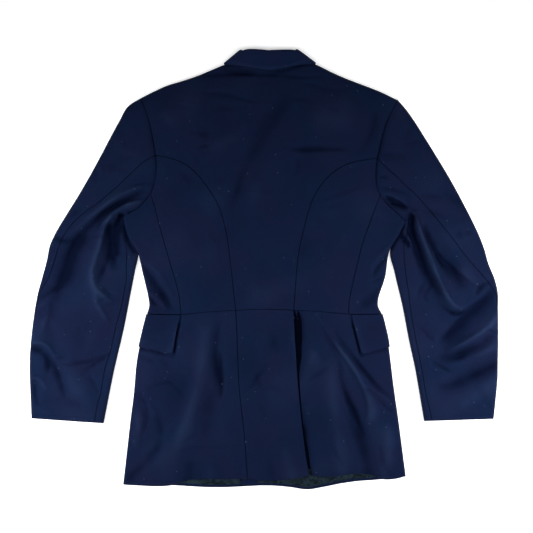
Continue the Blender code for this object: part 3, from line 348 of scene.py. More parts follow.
# Creases of the cloth that lies uppermost. Each row: height (a trough is below 0), half-width, the places
# that it runs through and, up to the last one that isn't 0, its lean to the left of its run and the shares
# of its height at its start and at its end.
CREASES = (
    (-0.9, 4.6, ((-118, 325), (-99, 324), (-64, 321), (-30, 313), (-8, 309)), 0.2),
    (-0.24, 5, ((-181, 302), (-152, 298), (-130, 294)), 0.2),
    (-0.36, 7, ((-102, 291), (-74, 297), (-45, 299), (-30, 303)), 0.2),
    (-0.6, 4, ((-141, 255), (-121, 251), (-101, 244)), 0.2),
    (-0.5, 3, ((-126, 222), (-112, 227), (-97, 229)), 0.2),
    (-0.4, 5, ((-127, 218), (-122, 200), (-132, 182))),
    (-0.3, 13, ((39, 308), (24, 279), (11, 256), (-2, 229), (-16, 205), (-31, 182), (-44, 166))),
    (-0.7, 8, ((-38, 187), (-47, 152), (-61, 124), (-64, 93))),
    (-0.24, 6, ((-77, 196), (-58, 200), (-34, 207)), 0.2),
    (-0.18, 6, ((-39, 150), (-11, 144), (21, 146)), 0.2),
    (-0.48, 5, ((51, 317), (73, 313), (93, 315)), 0.2),
    (-0.48, 4.5, ((64, 340), (90, 340), (107, 334), (125, 331), (155, 329)), 0.2),
    (-0.3, 4, ((118, 292), (130, 295), (141, 291)), 0.2),
    (-1.4, 6, ((34, 227), (67, 221), (104, 222), (135, 222), (159, 220)), 0.2),
    (-0.3, 5, ((156, 218), (175, 216), (199, 221)), 0.2),
    (-0.72, 6, ((206, 307), (202, 275), (193, 241), (176, 219)), 0.2),
    (-0.7, 3, ((61, 209), (63, 190), (57, 175))),
    (0.35, 3, ((83, 176), (81, 152), (79, 127))),
    (-0.48, 5, ((99, 126), (125, 134), (156, 145), (189, 156)), 0.2),
    (-0.36, 4, ((102, 114), (125, 116), (150, 123)), 0.2),
    (-0.3, 8, ((135, 144), (156, 157), (178, 163)), 0.2),
    (-0.24, 5, ((76, 54), (88, 51), (105, 53)), 0.2),
    (-1.9, 8, ((-224, 6), (-211, -10), (-196, -32), (-181, -54), (-168, -77)), -0.35, 0.6),
    (0.5, 6, ((-216, 12), (-196, -6), (-179, -32), (-164, -58)), 0, 0.3),
    (-1.3, 3.2, ((-214, -53), (-206, -58), (-198, -69)), -0.2, 1),
    (0.8, 4, ((-214, -43), (-200, -51), (-187, -65), (-179, -78)), 0, 1),
    (-1.5, 4.4, ((226, 21), (216, 10), (207, -2), (201, -16)), -0.3, 0.7),
    (0.7, 7, ((241, 46), (220, 27), (206, 10), (194, -10)), 0, 0.4),
    (-0.7, 3, ((222, -15), (207, -21), (191, -28)), 0, 0.6),
    (-1.2, 11, ((226, -28), (211, -43), (193, -58), (169, -75)), 0, 0.5),
    (-2.2, 9, ((-79, -91), (-85, -117), (-89, -147), (-87, -178), (-83, -206), (-81, -239))),
    (-1.6, 3.2, ((-79, -151), (-79, -184), (-78, -213), (-79, -247))),
    (1.5, 13, ((-105, -99), (-111, -151), (-118, -202), (-133, -252), (-152, -308), (-170, -363))),
    (-1.3, 17, ((-89, -215), (-98, -252), (-105, -289), (-113, -326))),
    (-1, 8, ((-198, -265), (-189, -295), (-192, -324), (-207, -350))),
    (-1.2, 8, ((-181, -317), (-200, -339), (-218, -361), (-244, -386)), 0, 0, 0.6),
    (1.5, 9, ((-235, -250), (-231, -280), (-235, -310), (-242, -336))),
    (-0.7, 4, ((-240, -230), (-227, -238), (-218, -250), (-216, -271), (-218, -291), (-226, -313)), 0, 1),
    (0.6, 5, ((-214, -250), (-203, -265), (-200, -280))),
    (-0.7, 3, ((-218, -219), (-196, -214), (-179, -209), (-166, -214), (-148, -236))),
    (-0.6, 3.4, ((-163, -341), (-140, -336), (-113, -330), (-78, -328), (-39, -328)), 0.2, 0, 0.4),
    (-0.36, 4, ((-155, -321), (-135, -312), (-107, -299)), 0.2),
    (-1, 12, ((-135, -350), (-137, -373), (-140, -398)), 0, 0, 1),
    (0.8, 10, ((-96, -347), (-98, -369), (-100, -391)), 0, 0, 1),
    (-0.48, 4, ((-231, -162), (-216, -167), (-198, -176)), 0.2, 1),
    (-0.5, 5, ((-192, -162), (-181, -173), (-170, -191))),
    (-0.8, 4, ((-39, -230), (-24, -217), (-11, -199), (4, -180), (19, -164))),
    (-0.5, 5, ((-16, -191), (-9, -210), (-4, -228))),
    (-0.6, 7, ((-11, -239), (0, -265), (13, -293))),
    (-0.3, 6, ((-4, -217), (21, -221), (48, -228)), 0.2),
    (0.5, 9, ((0, -106), (-5, -141), (-9, -173))),
    (-0.6, 8, ((13, -114), (21, -141), (30, -154))),
    (0.8, 12, ((35, -317), (45, -358), (56, -398)), 0, 0, 1),
    (-0.7, 9, ((4, -339), (11, -365), (17, -402)), 0, 0, 1),
    (1.6, 4.2, (
        (95, -82), (107, -102), (122, -127), (141, -151), (163, -182), (178, -208), (189, -234),
        (194, -254), (193, -276), (183, -291),
    ), 0.2, 0.7),
    (-2, 4.5, (
        (130, -115), (150, -145), (170, -171), (189, -195), (209, -219), (230, -238), (241, -250),
    ), 0, 0.3),
    (0.9, 2.6, ((180, -213), (200, -223), (220, -236), (235, -249)), 0, 0.2),
    (-0.9, 3, ((202, -236), (220, -252), (231, -262), (243, -269)), 0, 0.2),
    (-2.3, 6, ((137, -165), (139, -191), (146, -219), (156, -243), (167, -267), (178, -293), (189, -317))),
    (-2, 14, ((157, -258), (170, -295), (183, -336), (193, -387)), 0, 0, 0.9),
    (-0.8, 3, ((146, -241), (157, -252), (167, -276))),
    (1.2, 8, ((189, -225), (198, -247), (200, -269), (193, -287))),
    (1.4, 13, ((224, -284), (230, -317), (226, -350), (222, -380)), 0, 0, 0.5),
    (-0.8, 6, ((213, -324), (217, -347), (222, -365), (235, -387)), 0, 0, 0.5),
    (1.3, 15, ((122, -154), (124, -215), (132, -280), (143, -373)), 0, 0, 0.6),
    (-1.2, 7, ((104, -91), (113, -114), (126, -139), (135, -165)), 0, 0.6),
    (-0.7, 3, ((78, -210), (93, -199), (107, -189), (126, -176))),
    (0.6, 2.4, ((82, -176), (89, -164), (98, -151))),
    (1, 12, ((85, -128), (91, -162), (98, -191))),
    (-0.6, 4, ((124, -326), (133, -345), (146, -367))),
    (-0.3, 6, ((150, -191), (170, -201), (189, -210)), 0.2),
    (-1.3, 3.6, (
        (-118, 357), (-96, 357), (-72, 359), (-44, 359), (-16, 359), (8, 358), (22, 358),
    ), 0.2, 0.7, 0.5),
    (-0.8, 3.2, ((15, 358), (35, 358), (52, 355), (72, 354), (95, 355), (119, 357)), 0.2, 0.3),
    (-1.6, 5, ((-78, 371), (-59, 366), (-37, 362), (-15, 361)), 0, 0.2),
    (-0.8, 15, ((52, 326), (35, 305), (11, 271), (-11, 238), (-33, 197))),
    (-0.7, 11, ((-6, 238), (-26, 208), (-42, 171), (-52, 127), (-52, 86))),
    (0.8, 17, ((-109, 216), (-78, 234), (-44, 256), (-18, 279))),
    (0.6, 14, ((-11, 168), (-18, 134), (-22, 101))),
    (0.5, 16, ((89, 275), (122, 279), (156, 271))),
    (-0.6, 9, ((-126, 268), (-107, 253), (-107, 234), (-120, 216))),
    (-0.5, 7, ((-155, 186), (-140, 168), (-126, 160))),
    (0.5, 12, ((-192, 293), (-170, 271), (-152, 249))),
    (0.6, 12, ((122, 34), (150, 60), (170, 86))),
    (-0.5, 12, ((67, 90), (74, 44), (82, -3))),
    (0.4, 14, ((-100, 71), (-92, 23), (-89, -21))),
    (-0.4, 12, ((-4, 34), (-7, -6), (-4, -51))),
)

# Deep folds of single pieces, in the same form, under the end of their pieces' names. Their middle is sharp.
DEEP_FOLDS = {
    "sleeve_left": (
        (-6.3, 4, (
            (-218, 144), (-226, 142), (-248, 130), (-272, 118), (-296, 103), (-314, 86), (-329, 73),
            (-344, 58),
        ), 0, 0.2),
        (3.8, 7, (
            (-218, 156), (-251, 145), (-279, 129), (-303, 109), (-325, 92), (-344, 75), (-362, 62),
        ), 0, 0.2),
        (-1.5, 4, ((-207, 159), (-231, 157), (-248, 150), (-270, 136), (-296, 126)), 0, 0.5),
        (5, 6, ((-224, 127), (-240, 123), (-255, 119), (-272, 109), (-285, 97), (-298, 84)), 0.4, 0.2, 0.3),
        (5, 5, (
            (-277, 101), (-288, 88), (-294, 75), (-298, 60), (-303, 40), (-309, 23), (-314, 5), (-316, -16),
            (-311, -34), (-298, -47), (-285, -58), (-275, -64),
        ), -0.35, 0.4),
        (2.5, 4, ((-312, -40), (-309, -62), (-300, -78), (-290, -95), (-288, -108)), -0.3, 0.3),
        (-4.2, 5, ((-285, 44), (-288, 20), (-296, -3), (-303, -21), (-301, -30))),
        (-1.5, 2.6, ((-307, -65), (-300, -58), (-288, -54), (-281, -53))),
        (-1.4, 2.6, ((-303, -28), (-288, -43), (-275, -51))),
        (-11.2, 4.4, ((-264, 97), (-267, 86), (-270, 75), (-270, 64)), 0, 1),
        (-5.6, 5, ((-270, 71), (-272, 53), (-270, 23)), 0, 1),
        (-5.6, 9, ((-285, 75), (-284, 57), (-281, 34), (-277, 12), (-281, -3)), 0, 0.8),
        (-1.2, 2.5, ((-320, 60), (-307, 61), (-288, 60))),
        (-6.4, 12, ((-340, 57), (-351, 40), (-359, 20), (-366, -4), (-377, -30), (-386, -58)), 0.3, 0.9),
        (-2.85, 17, ((-377, -32), (-390, -62), (-396, -88), (-396, -114), (-388, -139), (-386, -162))),
        (-1.8, 4, ((-418, -58), (-401, -47), (-385, -36), (-370, -28)), 0, 1),
        (1.6, 5, ((-412, -69), (-396, -56), (-377, -43), (-359, -34)), 0, 1),
        (2, 5, ((-401, -58), (-399, -80), (-407, -104), (-411, -123))),
        (-2.5, 5, ((-388, 58), (-366, 53), (-344, 52)), 0, 0.8),
        (-1.4, 4, ((-364, 90), (-346, 105), (-329, 116))),
        (2.5, 3, ((-433, -139), (-414, -137), (-399, -145), (-388, -160), (-377, -167)), 0, 1),
        (-4.5, 6, (
            (-429, -147), (-414, -151), (-403, -160), (-399, -173), (-399, -188), (-403, -199),
        ), 0, 1),
        (-2.4, 2.5, ((-388, -165), (-374, -164), (-362, -160))),
        (-2.6, 3, (
            (-381, -171), (-370, -178), (-355, -176), (-337, -173), (-318, -171), (-303, -165),
            (-292, -162),
        )),
        (-2.2, 3, ((-340, -197), (-329, -188), (-314, -178), (-305, -171))),
        (-4.5, 7, ((-396, -165), (-383, -191), (-375, -210), (-370, -228), (-366, -243)), 0.2, 0.3),
        (2.2, 24, ((-374, -176), (-359, -201), (-344, -221), (-329, -239), (-318, -254)), 0, 0.5, 0.3),
        (2, 16, ((-300, -91), (-311, -117), (-322, -143), (-333, -165)), 0, 0.2, 0.4),
        (-2.6, 2.8, ((-318, -180), (-305, -171), (-292, -163), (-277, -154)), 0, 0, 0.3),
        (-1.6, 3, ((-325, -193), (-314, -212), (-307, -230))),
        (-1.6, 9, ((-414, -247), (-386, -243), (-359, -245), (-333, -254))),
        (1.6, 8, ((-429, -250), (-411, -262), (-388, -273)), 0, 0.5),
        (-2.8, 4.5, ((-423, -206), (-423, -228), (-420, -243), (-414, -254)), 0, 0.4),
        (2.6, 4, ((-431, -201), (-414, -206), (-401, -225)), 0, 0.8),
        (-1.8, 5, ((-300, 186), (-281, 190), (-257, 194))),
        (-1.6, 3.5, ((-283, 197), (-270, 203), (-255, 205), (-238, 201))),
        (-1.6, 3, ((-268, 182), (-259, 181), (-251, 175))),
        (-1.6, 9, ((-268, 277), (-264, 256), (-251, 236), (-231, 223))),
        (-1.8, 3.5, ((-312, 190), (-311, 171), (-312, 157))),
        (-1.8, 2, ((-209, 140), (-222, 121), (-235, 109), (-246, 104)), 0, 0, 0.6),
        (1.3, 2.5, ((-305, 194), (-300, 177))),
        (1.3, 2.5, ((-314, 179), (-312, 162))),
        (1.1, 3, ((-266, 251), (-237, 223))),
        (-5, 3.2, ((-263, 90), (-257, 70), (-251, 51), (-239, 31)), 0, 0.4, 0.8),
        (-1.8, 2.4, ((-263, 97), (-255, 104), (-239, 106), (-231, 111)), 0, 0.2, 0.2),
        (-1.6, 2.6, (
            (-228, 316), (-212, 272), (-201, 215), (-199, 184), (-207, 143), (-220, 124), (-231, 113),
        ), 0, 0.4, 0.8),
    ),
    "sleeve_right": (
        (-1.8, 2, ((217, 132), (231, 116), (246, 101), (259, 86))),
        (5.4, 6, (
            (263, 84), (268, 98), (276, 105), (283, 90), (291, 66), (300, 40), (311, 12), (322, -16),
            (335, -43), (350, -65), (365, -73), (378, -67), (385, -56),
        ), -0.45, 0.5),
        (4.2, 8, (
            (296, 79), (307, 57), (322, 34), (342, 12), (366, -8), (389, -27), (400, -23),
        ), 0.55, 0.2),
        (-6.4, 4.5, ((296, 79), (305, 58), (315, 40), (324, 21), (333, 1)), 0, 0.5),
        (-5.9, 12, ((309, 57), (328, 29), (342, 9), (357, -14), (366, -40)), 0, 0.3),
        (-4.5, 9, ((294, 9), (302, -10), (315, -34), (328, -54)), 0, 0.6),
        (-9.8, 6.5, ((272, 96), (271, 75), (276, 57), (283, 36), (291, 12), (300, -12)), 0, 1),
        (4.1, 2.8, ((255, 73), (263, 62), (271, 49), (274, 36)), 0, 0.6, 0.2),
        (-7, 3.4, ((250, 66), (257, 56), (266, 46), (268, 38)), 0, 0.8),
        (-4.5, 3.6, ((328, -69), (342, -80), (359, -84), (374, -77), (383, -65)), 0, 0.2),
        (-4.2, 3.4, ((391, -53), (396, -40), (407, -28), (418, -27)), 0, 0, 0.3),
        (-1.5, 2.5, ((413, -27), (422, -23), (431, -23)), 0, 0, 1),
        (-7.6, 10, ((422, -32), (411, -53), (392, -71), (370, -91), (348, -114), (326, -134)), 0.4, 0, 0.2),
        (4.2, 5, ((431, -84), (415, -106), (391, -125), (363, -141), (337, -154)), 0, 0.5),
        (-4.3, 8, ((416, -125), (402, -139), (379, -152), (357, -164), (335, -165), (317, -160)), 0, 0.5),
        (2.8, 8, ((431, -139), (407, -154), (381, -165), (355, -175), (337, -180)), 0, 0.5),
        (-2.6, 3.2, ((307, -171), (322, -180), (337, -188), (350, -193))),
        (-4.5, 10, ((431, -176), (409, -188), (381, -201), (354, -213), (331, -219), (311, -217)), 0, 0.8),
        (2.4, 22, ((431, -206), (403, -225), (378, -241), (355, -262)), 0, 0.8, 0.3),
        (-1.5, 3, ((407, -117), (418, -115), (431, -121)), 0, 0, 1),
        (-2.6, 2.6, ((280, -106), (292, -114), (307, -130), (318, -139))),
        (-2.4, 4, ((283, -58), (291, -34), (300, -23))),
        (-2.2, 3.5, ((304, -67), (296, -49), (304, -36), (315, -28))),
        (-2.2, 5, ((217, 210), (235, 209), (252, 208), (270, 206)), 0, 0.5),
        (-1.8, 6, ((270, 268), (267, 251), (255, 236))),
        (-2, 4.4, ((294, 236), (270, 232), (255, 227))),
        (-1.7, 4, ((215, 171), (231, 171)), 0, 0.5),
        (-2, 5, ((215, 151), (235, 149), (255, 142), (274, 129)), 0, 0.5),
        (-2.2, 3.6, ((280, 140), (296, 136), (320, 134), (333, 127))),
        (-2, 6, ((324, 153), (333, 142), (344, 132), (363, 120), (374, 97))),
        (-2, 4, ((296, 108), (315, 103), (333, 94))),
        (-2, 5, ((355, 73), (365, 55))),
        (-2, 4, ((370, 70), (385, 64))),
        (2.6, 3.5, ((220, 139), (231, 136), (246, 129), (265, 116), (281, 99)), 0, 0.3, 0.2),
        (-7.8, 4, ((224, 134), (241, 126), (252, 120), (267, 113)), 0, 0.2),
        (-4.8, 2.6, ((233, 121), (243, 121), (254, 120)), 0, 0, 0.6),
        (-1.8, 2.8, (
            (247, 312), (236, 290), (224, 263), (210, 207), (207, 182), (208, 155), (215, 135), (230, 116),
        ), 0, 0.3, 0.8),
        (-4.5, 3.2, ((259, 83), (250, 66), (241, 49), (235, 36)), 0, 0.5, 0.8),
    ),
    "flap_left": (
        (1.6, 6, ((-155, -91), (-161, -117), (-166, -139), (-174, -154)), 0, 0.1, 0.7),
        (-0.8, 2.4, ((-222, -111), (-207, -115), (-190, -111), (-174, -104)), 0, 1),
    ),
    "skirt_left": (
        (-4.2, 3.2, ((-153, -91), (-161, -114), (-165, -141), (-167, -158)), 0, 0.1, 0.8),
        (-3, 2.8, ((-231, -147), (-208, -151), (-188, -156), (-174, -160)), 0, 0.9, 0.6),
    ),
    "flap_right": (
        (1.6, 6, ((161, -91), (170, -117), (178, -139), (185, -154)), 0, 0.1, 0.7),
        (-0.4, 4, ((193, -108), (207, -112), (226, -108)), 0, 0, 1),
    ),
    "skirt_right": (
        (-4.2, 3.2, ((159, -91), (169, -114), (175, -141), (179, -159)), 0, 0.1, 0.8),
        (-2.3, 2.4, ((183, -160), (207, -153), (233, -147)), 0, 0.6, 0.9),
        (-4.5, 6, ((63, -77), (66, -99), (67, -125), (67, -147), (65, -173), (66, -202)), 0, 0.6, 0.2),
        (-2.5, 4, ((69, -234), (72, -271), (78, -302), (83, -339), (89, -391)), 0, 0.3, 1),
    ),
    "skirt_back": (
        (1.8, 4, ((51, -78), (52, -104), (53, -132), (57, -154), (60, -184)), 0, 0.3),
    ),
    "back_centre": (
        (-2.6, 2.4, ((-79, 379), (-65, 377), (-53, 374), (-42, 370), (-29, 366), (-15, 365)), 0, 1, 0.4),
        (-2.6, 2.4, ((22, 365), (37, 367), (50, 371), (65, 376), (80, 379), (100, 379)), 0, 0.4, 1),
        (-1.3, 2.2, ((-33, 367), (-15, 365), (4, 364), (22, 365), (41, 368)), 0, 0.6, 0.6),
    ),
    "collar": (
        (1, 4, (
            (-70, 384), (-53, 381), (-39, 377), (-22, 373), (-4, 371), (15, 372), (33, 374), (50, 378),
            (67, 383), (83, 386),
        ), 0, 0.7, 0.7),
    ),
}

# Shallow troughs on the side that lies below, in the same form. Here a height above 0 goes into the cloth.
UNDER_CREASES = (
    (0.5, 7, ((-120, 240), (-95, 150), (-60, 60))),
    (0.4, 6, ((-20, 210), (-70, 170), (-150, 150))),
    (0.5, 8, ((150, 250), (120, 160), (80, 90))),
    (0.4, 6, ((110, 120), (150, 60), (165, -20))),
    (0.5, 7, ((-60, -40), (-110, 0), (-160, 60))),
    (0.5, 8, ((-90, -190), (-110, -260), (-160, -340))),
    (0.4, 6, ((0, -120), (-10, -220), (-40, -320))),
    (0.5, 8, ((90, -190), (130, -260), (140, -350))),
    (0.4, 6, ((170, -200), (200, -260), (215, -330))),
    (0.6, 8, ((-270, 200), (-300, 130), (-330, 90))),
    (0.6, 8, ((-300, 30), (-350, 10), (-390, -20))),
    (0.5, 7, ((-320, -110), (-360, -130), (-400, -120))),
    (0.6, 8, ((280, 190), (310, 120), (350, 90))),
    (0.6, 8, ((300, 20), (350, 0), (400, 10))),
    (0.5, 7, ((320, -120), (360, -100), (410, -110))),
)

# Outer and inner grid of each piece that is cut.
CUT = {}


def keep(name, outer, inner):
    """Notes a piece's outer and inner grid."""
    CUT[name] = (outer, inner)


# Lines and grids in plan


def resample(points, count):
    """count + 1 points at equal steps along a polyline."""
    steps = np.hypot(*np.diff(points, axis=0).T)
    run = np.concatenate(([0.0], np.cumsum(steps)))
    wanted = np.linspace(0.0, run[-1], count + 1)
    return np.stack([np.interp(wanted, run, points[:, axis]) for axis in range(2)], axis=1)


def curve_between(before, start, end, after, share):
    """Places from start to end on a smooth curve that passes through all four points."""
    linear = (end - before) * share
    square = (2 * before - 5 * start + 4 * end - after) * share**2
    cube = (3 * start - before - 3 * end + after) * share**3
    return 0.5 * (2 * start + linear + square + cube)


def dense_line(rows):
    """A smooth line through the rows, as closely spaced points."""
    rows = np.array(rows, float)
    ends = np.vstack((2 * rows[0] - rows[1], rows, 2 * rows[-1] - rows[-2]))
    share = np.linspace(0.0, 1.0, SPLINE_STEPS, endpoint=False)[:, None]
    stretches = [curve_between(*four, share) for four in zip(ends, ends[1:], ends[2:], ends[3:])]
    return np.vstack(stretches + [rows[-1:]])


def smooth_line(rows, count):
    """count + 1 points at equal steps along a smooth line through the rows."""
    return resample(dense_line(rows), count)


def stretch(line, start, end, count):
    """count + 1 points on the part of a dense line between the places nearest to start and end."""
    first = int(np.argmin(np.hypot(*(line - start).T)))
    last = int(np.argmin(np.hypot(*(line - end).T)))
    if first <= last:
        return resample(line[first : last + 1], count)
    return resample(line[last : first + 1][::-1], count)


def moved_end(line, end):
    """The line with its last point at end, eased in over the points just before it."""
    share = np.linspace(0.0, 1.0, len(line))[:, None]
    return line + share**END_EASING * (end - line[-1])


def joined(first, second):
    """Two lines in one, where the second starts at the first one's end."""
    return np.vstack((first, second[1:]))


def patch(foot, head, left, right, fading=1.0):
    """A grid filled in between four lines. left and right run from foot to head.

    The foot's own bend fades towards the head by the power given.
    """
    up = np.linspace(0.0, 1.0, len(left))[:, None, None]
    across = np.linspace(0.0, 1.0, len(foot))[None, :, None]
    ruled_across = (1 - across) * left[:, None] + across * right[:, None]
    foot_bend = foot[None] - (1 - across) * left[0] - across * right[0]
    head_bend = head[None] - (1 - across) * left[-1] - across * right[-1]
    return ruled_across + (1 - up) ** fading * foot_bend + up * head_bend


def drawn_in(grid, foot=0.0, head=0.0, left=0.0, right=0.0):
    """The grid with its edges moved in by the given distances."""
    grid = grid.copy()
    for edge, next_row, distance in ((0, 1, foot), (-1, -2, head)):
        inward = grid[next_row] - grid[edge]
        grid[edge] += distance * inward / np.linalg.norm(inward, axis=-1, keepdims=True)
    for edge, next_column, distance in ((0, 1, left), (-1, -2, right)):
        inward = grid[:, next_column] - grid[:, edge]
        grid[:, edge] += distance * inward / np.linalg.norm(inward, axis=-1, keepdims=True)
    return grid


def outward_of(line, inside):
    """Unit directions square to a line, away from a point inside the piece."""
    along = np.gradient(line, axis=0)
    square = np.stack((along[:, 1], -along[:, 0]), axis=1)
    square /= np.linalg.norm(square, axis=1, keepdims=True)
    side = np.sign(np.sum(square * (line - inside), axis=1, keepdims=True))
    return square * side


# Heights


def nearest_on(line, x, y):
    """Each place's distance from a line, the share of it run by then, and its side: 1 left, -1 right."""
    nearest = np.full(np.shape(x), np.inf)
    place, side = np.zeros(np.shape(x)), np.zeros(np.shape(x))
    for number, (start, end) in enumerate(zip(line, line[1:])):
        run = end - start
        off_x, off_y = x - start[0], y - start[1]
        part = np.clip((off_x * run[0] + off_y * run[1]) / (run @ run), 0.0, 1.0)
        distance = np.hypot(off_x - part * run[0], off_y - part * run[1])
        closer = distance < nearest
        nearest = np.where(closer, distance, nearest)
        place = np.where(closer, (number + part) / (len(line) - 1), place)
        side = np.where(closer, np.sign(run[0] * off_y - run[1] * off_x), side)
    return nearest, place, side


def fold_shape(x, y, fold):
    """How far one fold lifts the cloth at each place."""
    *bend, half_width, height = fold
    bend = np.array(bend, float).reshape(3, 2)
    share = np.linspace(0.0, 1.0, FOLD_STEPS + 1)[:, None]
    middle = 2 * bend[1] - 0.5 * (bend[0] + bend[2])
    line = (1 - share) ** 2 * bend[0] + 2 * share * (1 - share) * middle + share**2 * bend[2]
    nearest, place, _ = nearest_on(line, x, y)
    taper = FOLD_END_SHARE + (1 - FOLD_END_SHARE) * np.sin(math.pi * place)
    return height * taper * np.exp(-((nearest / half_width) ** 2))


def ramp(value, limits):
    """0 at or beyond the first limit, 1 at or beyond the second, and smooth between."""
    share = np.clip((value - limits[0]) / (limits[1] - limits[0]), 0.0, 1.0)
    return share * share * (3 - 2 * share)


def waist_y(x):
    """The waist seam's y at each x."""
    line = dense_line(WAIST)
    return np.interp(x, line[:, 0], line[:, 1])


def pleat_rise(x, y):
    """The lift of a skirt over the underlay behind each pleat."""
    rise = np.zeros(np.shape(x))
    for side in ("left", "right"):
        rows = np.array(LINES[side]["pleat"], float)[::-1]
        pleat_x = np.interp(y, rows[:, 1], rows[:, 0])
        rise = np.maximum(rise, ramp(np.abs(x - pleat_x), PLEAT_RAMP_X))
    return PLEAT_LIFT * rise * ramp(y, PLEAT_RAMP_Y)


def rise_shape(x, y, row):
    """How far one broad rise lifts the cloth at each place."""
    centre_x, centre_y, reach_x, reach_y, rise = row
    return rise * np.exp(-(((x - centre_x) / reach_x) ** 2) - ((y - centre_y) / reach_y) ** 2)


def top_height(plan, base):
    """Height of the garment's upper face over the surface."""
    x, y = plan[..., 0], plan[..., 1]
    height = np.full(x.shape, base)
    for row in RISES:
        height += rise_shape(x, y, row)
    for fold in FOLDS:
        height += fold_shape(x, y, fold)
    height += NECK_LIFT * ramp(y, NECK_RAMP_Y) * ramp(np.abs(x - MIDDLE_X), NECK_RAMP_X)
    return np.maximum(height + pleat_rise(x, y), LEAST_TOP)


def lap_rise(x, side):
    """The lift of the right front, which lies over the left one in the middle."""
    if side == "left":
        return np.zeros(np.shape(x))
    return (FRONT_WALL + LAP_GAP) * ramp(x, LAP_RAMP)


def front_height(plan, side):
    """Height of a front's outer face, below: it is raised over the collar leaves and the other front."""
    x, y = plan[..., 0], plan[..., 1]
    over_collar = NECK_LIFT * ramp(y, LEAF_RAMP_Y) * ramp(np.abs(x - MIDDLE_X), LEAF_RAMP_X)
    return over_collar + lap_rise(x, side)


def skirt_front_height(plan, side):
    """Height of a skirt's outer face, below: it is raised over the flap and the other front."""
    x, y = plan[..., 0], plan[..., 1]
    over_flap = ramp(np.abs(x), FLAP_RAMP_X) * ramp(y, FLAP_RAMP_Y)
    return FLAP_LIFT * over_flap + lap_rise(x, side)


def back_floor(places):
    """The lowest that a back's inner face may lie over the fronts."""
    x = places[..., 0]
    left = front_height(places, "left")
    right = np.where(x > -FRONT_LAP - LAP_MARGIN, front_height(places, "right"), 0.0)
    return np.maximum(left, right) + FRONT_WALL + LAYER_GAP


def raised(plan, height):
    """The plan's places with a height each."""
    return np.concatenate((plan, np.broadcast_to(height, plan.shape[:-1])[..., None]), axis=-1)


# Pieces


def arc_points(flat_edge, outward, top, foot, reach, angles):
    """Points round a fold of half-ellipse section, for each row of the flat edge."""
    middle = (top + foot) / 2
    half = (top - foot) / 2
    sine = np.sin(angles)[None, :, None]
    reach = np.broadcast_to(reach, top.shape)[:, None, None]
    plan = flat_edge[:, None] + reach * sine * outward[:, None]
    height = middle[:, None] + half[:, None] * np.cos(angles)[None]
    return np.concatenate((plan, height[..., None]), axis=-1)


def wrapped_wall(name, top_plan, bottom_plan, outward, heights, walls, reach=FOLD_REACH):
    """A piece that lies on top, turns round a side fold and goes on below.

    Both plans have a row for each step along the fold. top_plan's last column and bottom_plan's first
    one are the flat edges of the fold. heights holds the outer faces' heights on both plans, and walls
    the thickness on both.
    """
    top_outer, bottom_outer = heights
    top_wall, bottom_wall = walls
    top_inner, bottom_inner = top_outer - top_wall, bottom_outer + bottom_wall
    angles = np.linspace(0.0, math.pi, ARC_STEPS + 1)[1:-1]
    edge = top_plan[:, -1]
    outer_arc = arc_points(edge, outward, top_outer[:, -1], bottom_outer[:, 0], reach, angles)
    inner_arc = arc_points(edge, outward, top_inner[:, -1], bottom_inner[:, 0], reach - top_wall, angles)
    outer = (raised(top_plan, top_outer), outer_arc, raised(bottom_plan, bottom_outer))
    inner = (raised(top_plan, top_inner), inner_arc, raised(bottom_plan, bottom_inner))
    keep(name, np.concatenate(outer, axis=1), np.concatenate(inner, axis=1))


def rolled_head(plan, outward, reach, outer_height, inner_height, middle, wall):
    """Outer and inner grids of a piece whose head turns over to the fold's middle height."""
    outer, inner = [raised(plan, outer_height)], [raised(plan, inner_height)]
    for angle in np.linspace(0.0, math.pi / 2, QUARTER_STEPS + 1)[1:]:
        for grids, height, distance in (
            (outer, outer_height, reach),
            (inner, inner_height, reach - wall),
        ):
            turned = plan[-1] + (distance * math.sin(angle))[:, None] * outward
            grids.append(raised(turned, middle + (height[-1] - middle) * math.cos(angle))[None])
    return np.concatenate(outer), np.concatenate(inner)


def line_set(side):
    """The side's lines, with the seams that end on the armhole moved onto it."""
    lines = {name: dense_line(rows) for name, rows in LINES[side].items()}
    armhole = lines["armhole"]
    for name in ("princess", "side_seam", "hind_seam"):
        line = lines[name][::-1] if name == "hind_seam" else lines[name]
        nearest = armhole[np.argmin(np.hypot(*(armhole - line[-1]).T))]
        line = moved_end(line, nearest)
        lines[name] = line[::-1] if name == "hind_seam" else line
    return lines


def from_waist(line, count):
    """count + 1 points at equal steps along a line, the first one moved onto the waist seam."""
    points = resample(line, count)
    points[0, 1] = waist_y(points[0, 0])
    return points


def on_waist(start_x, end_x, count):
    """Points along the waist seam."""
    x = np.linspace(start_x, end_x, count + 1)
    return np.stack((x, waist_y(x)), axis=1)


def front_edge_from(lap_x, end, count):
    """Points along a straight front edge, from the waist seam to its end."""
    return resample(np.array(((lap_x, waist_y(lap_x)), end)), count)


def side_fold(edge):
    """The flat edge beside a side fold and its outward directions, square to the waist seam at its start."""
    outward = outward_of(edge, np.array((0.0, edge[:, 1].mean())))
    outward[0] = (np.sign(edge[0, 0]), 0.0)
    flat_edge = edge - FOLD_REACH * outward
    flat_edge[0, 1] = waist_y(flat_edge[0, 0])
    return flat_edge, outward


def shoulder_fold(shoulder):
    """The flat edge beside a shoulder's fold, and its outward directions."""
    outward = outward_of(shoulder, np.array(SHOULDER_MIDDLE))
    return shoulder - FOLD_REACH * outward, outward


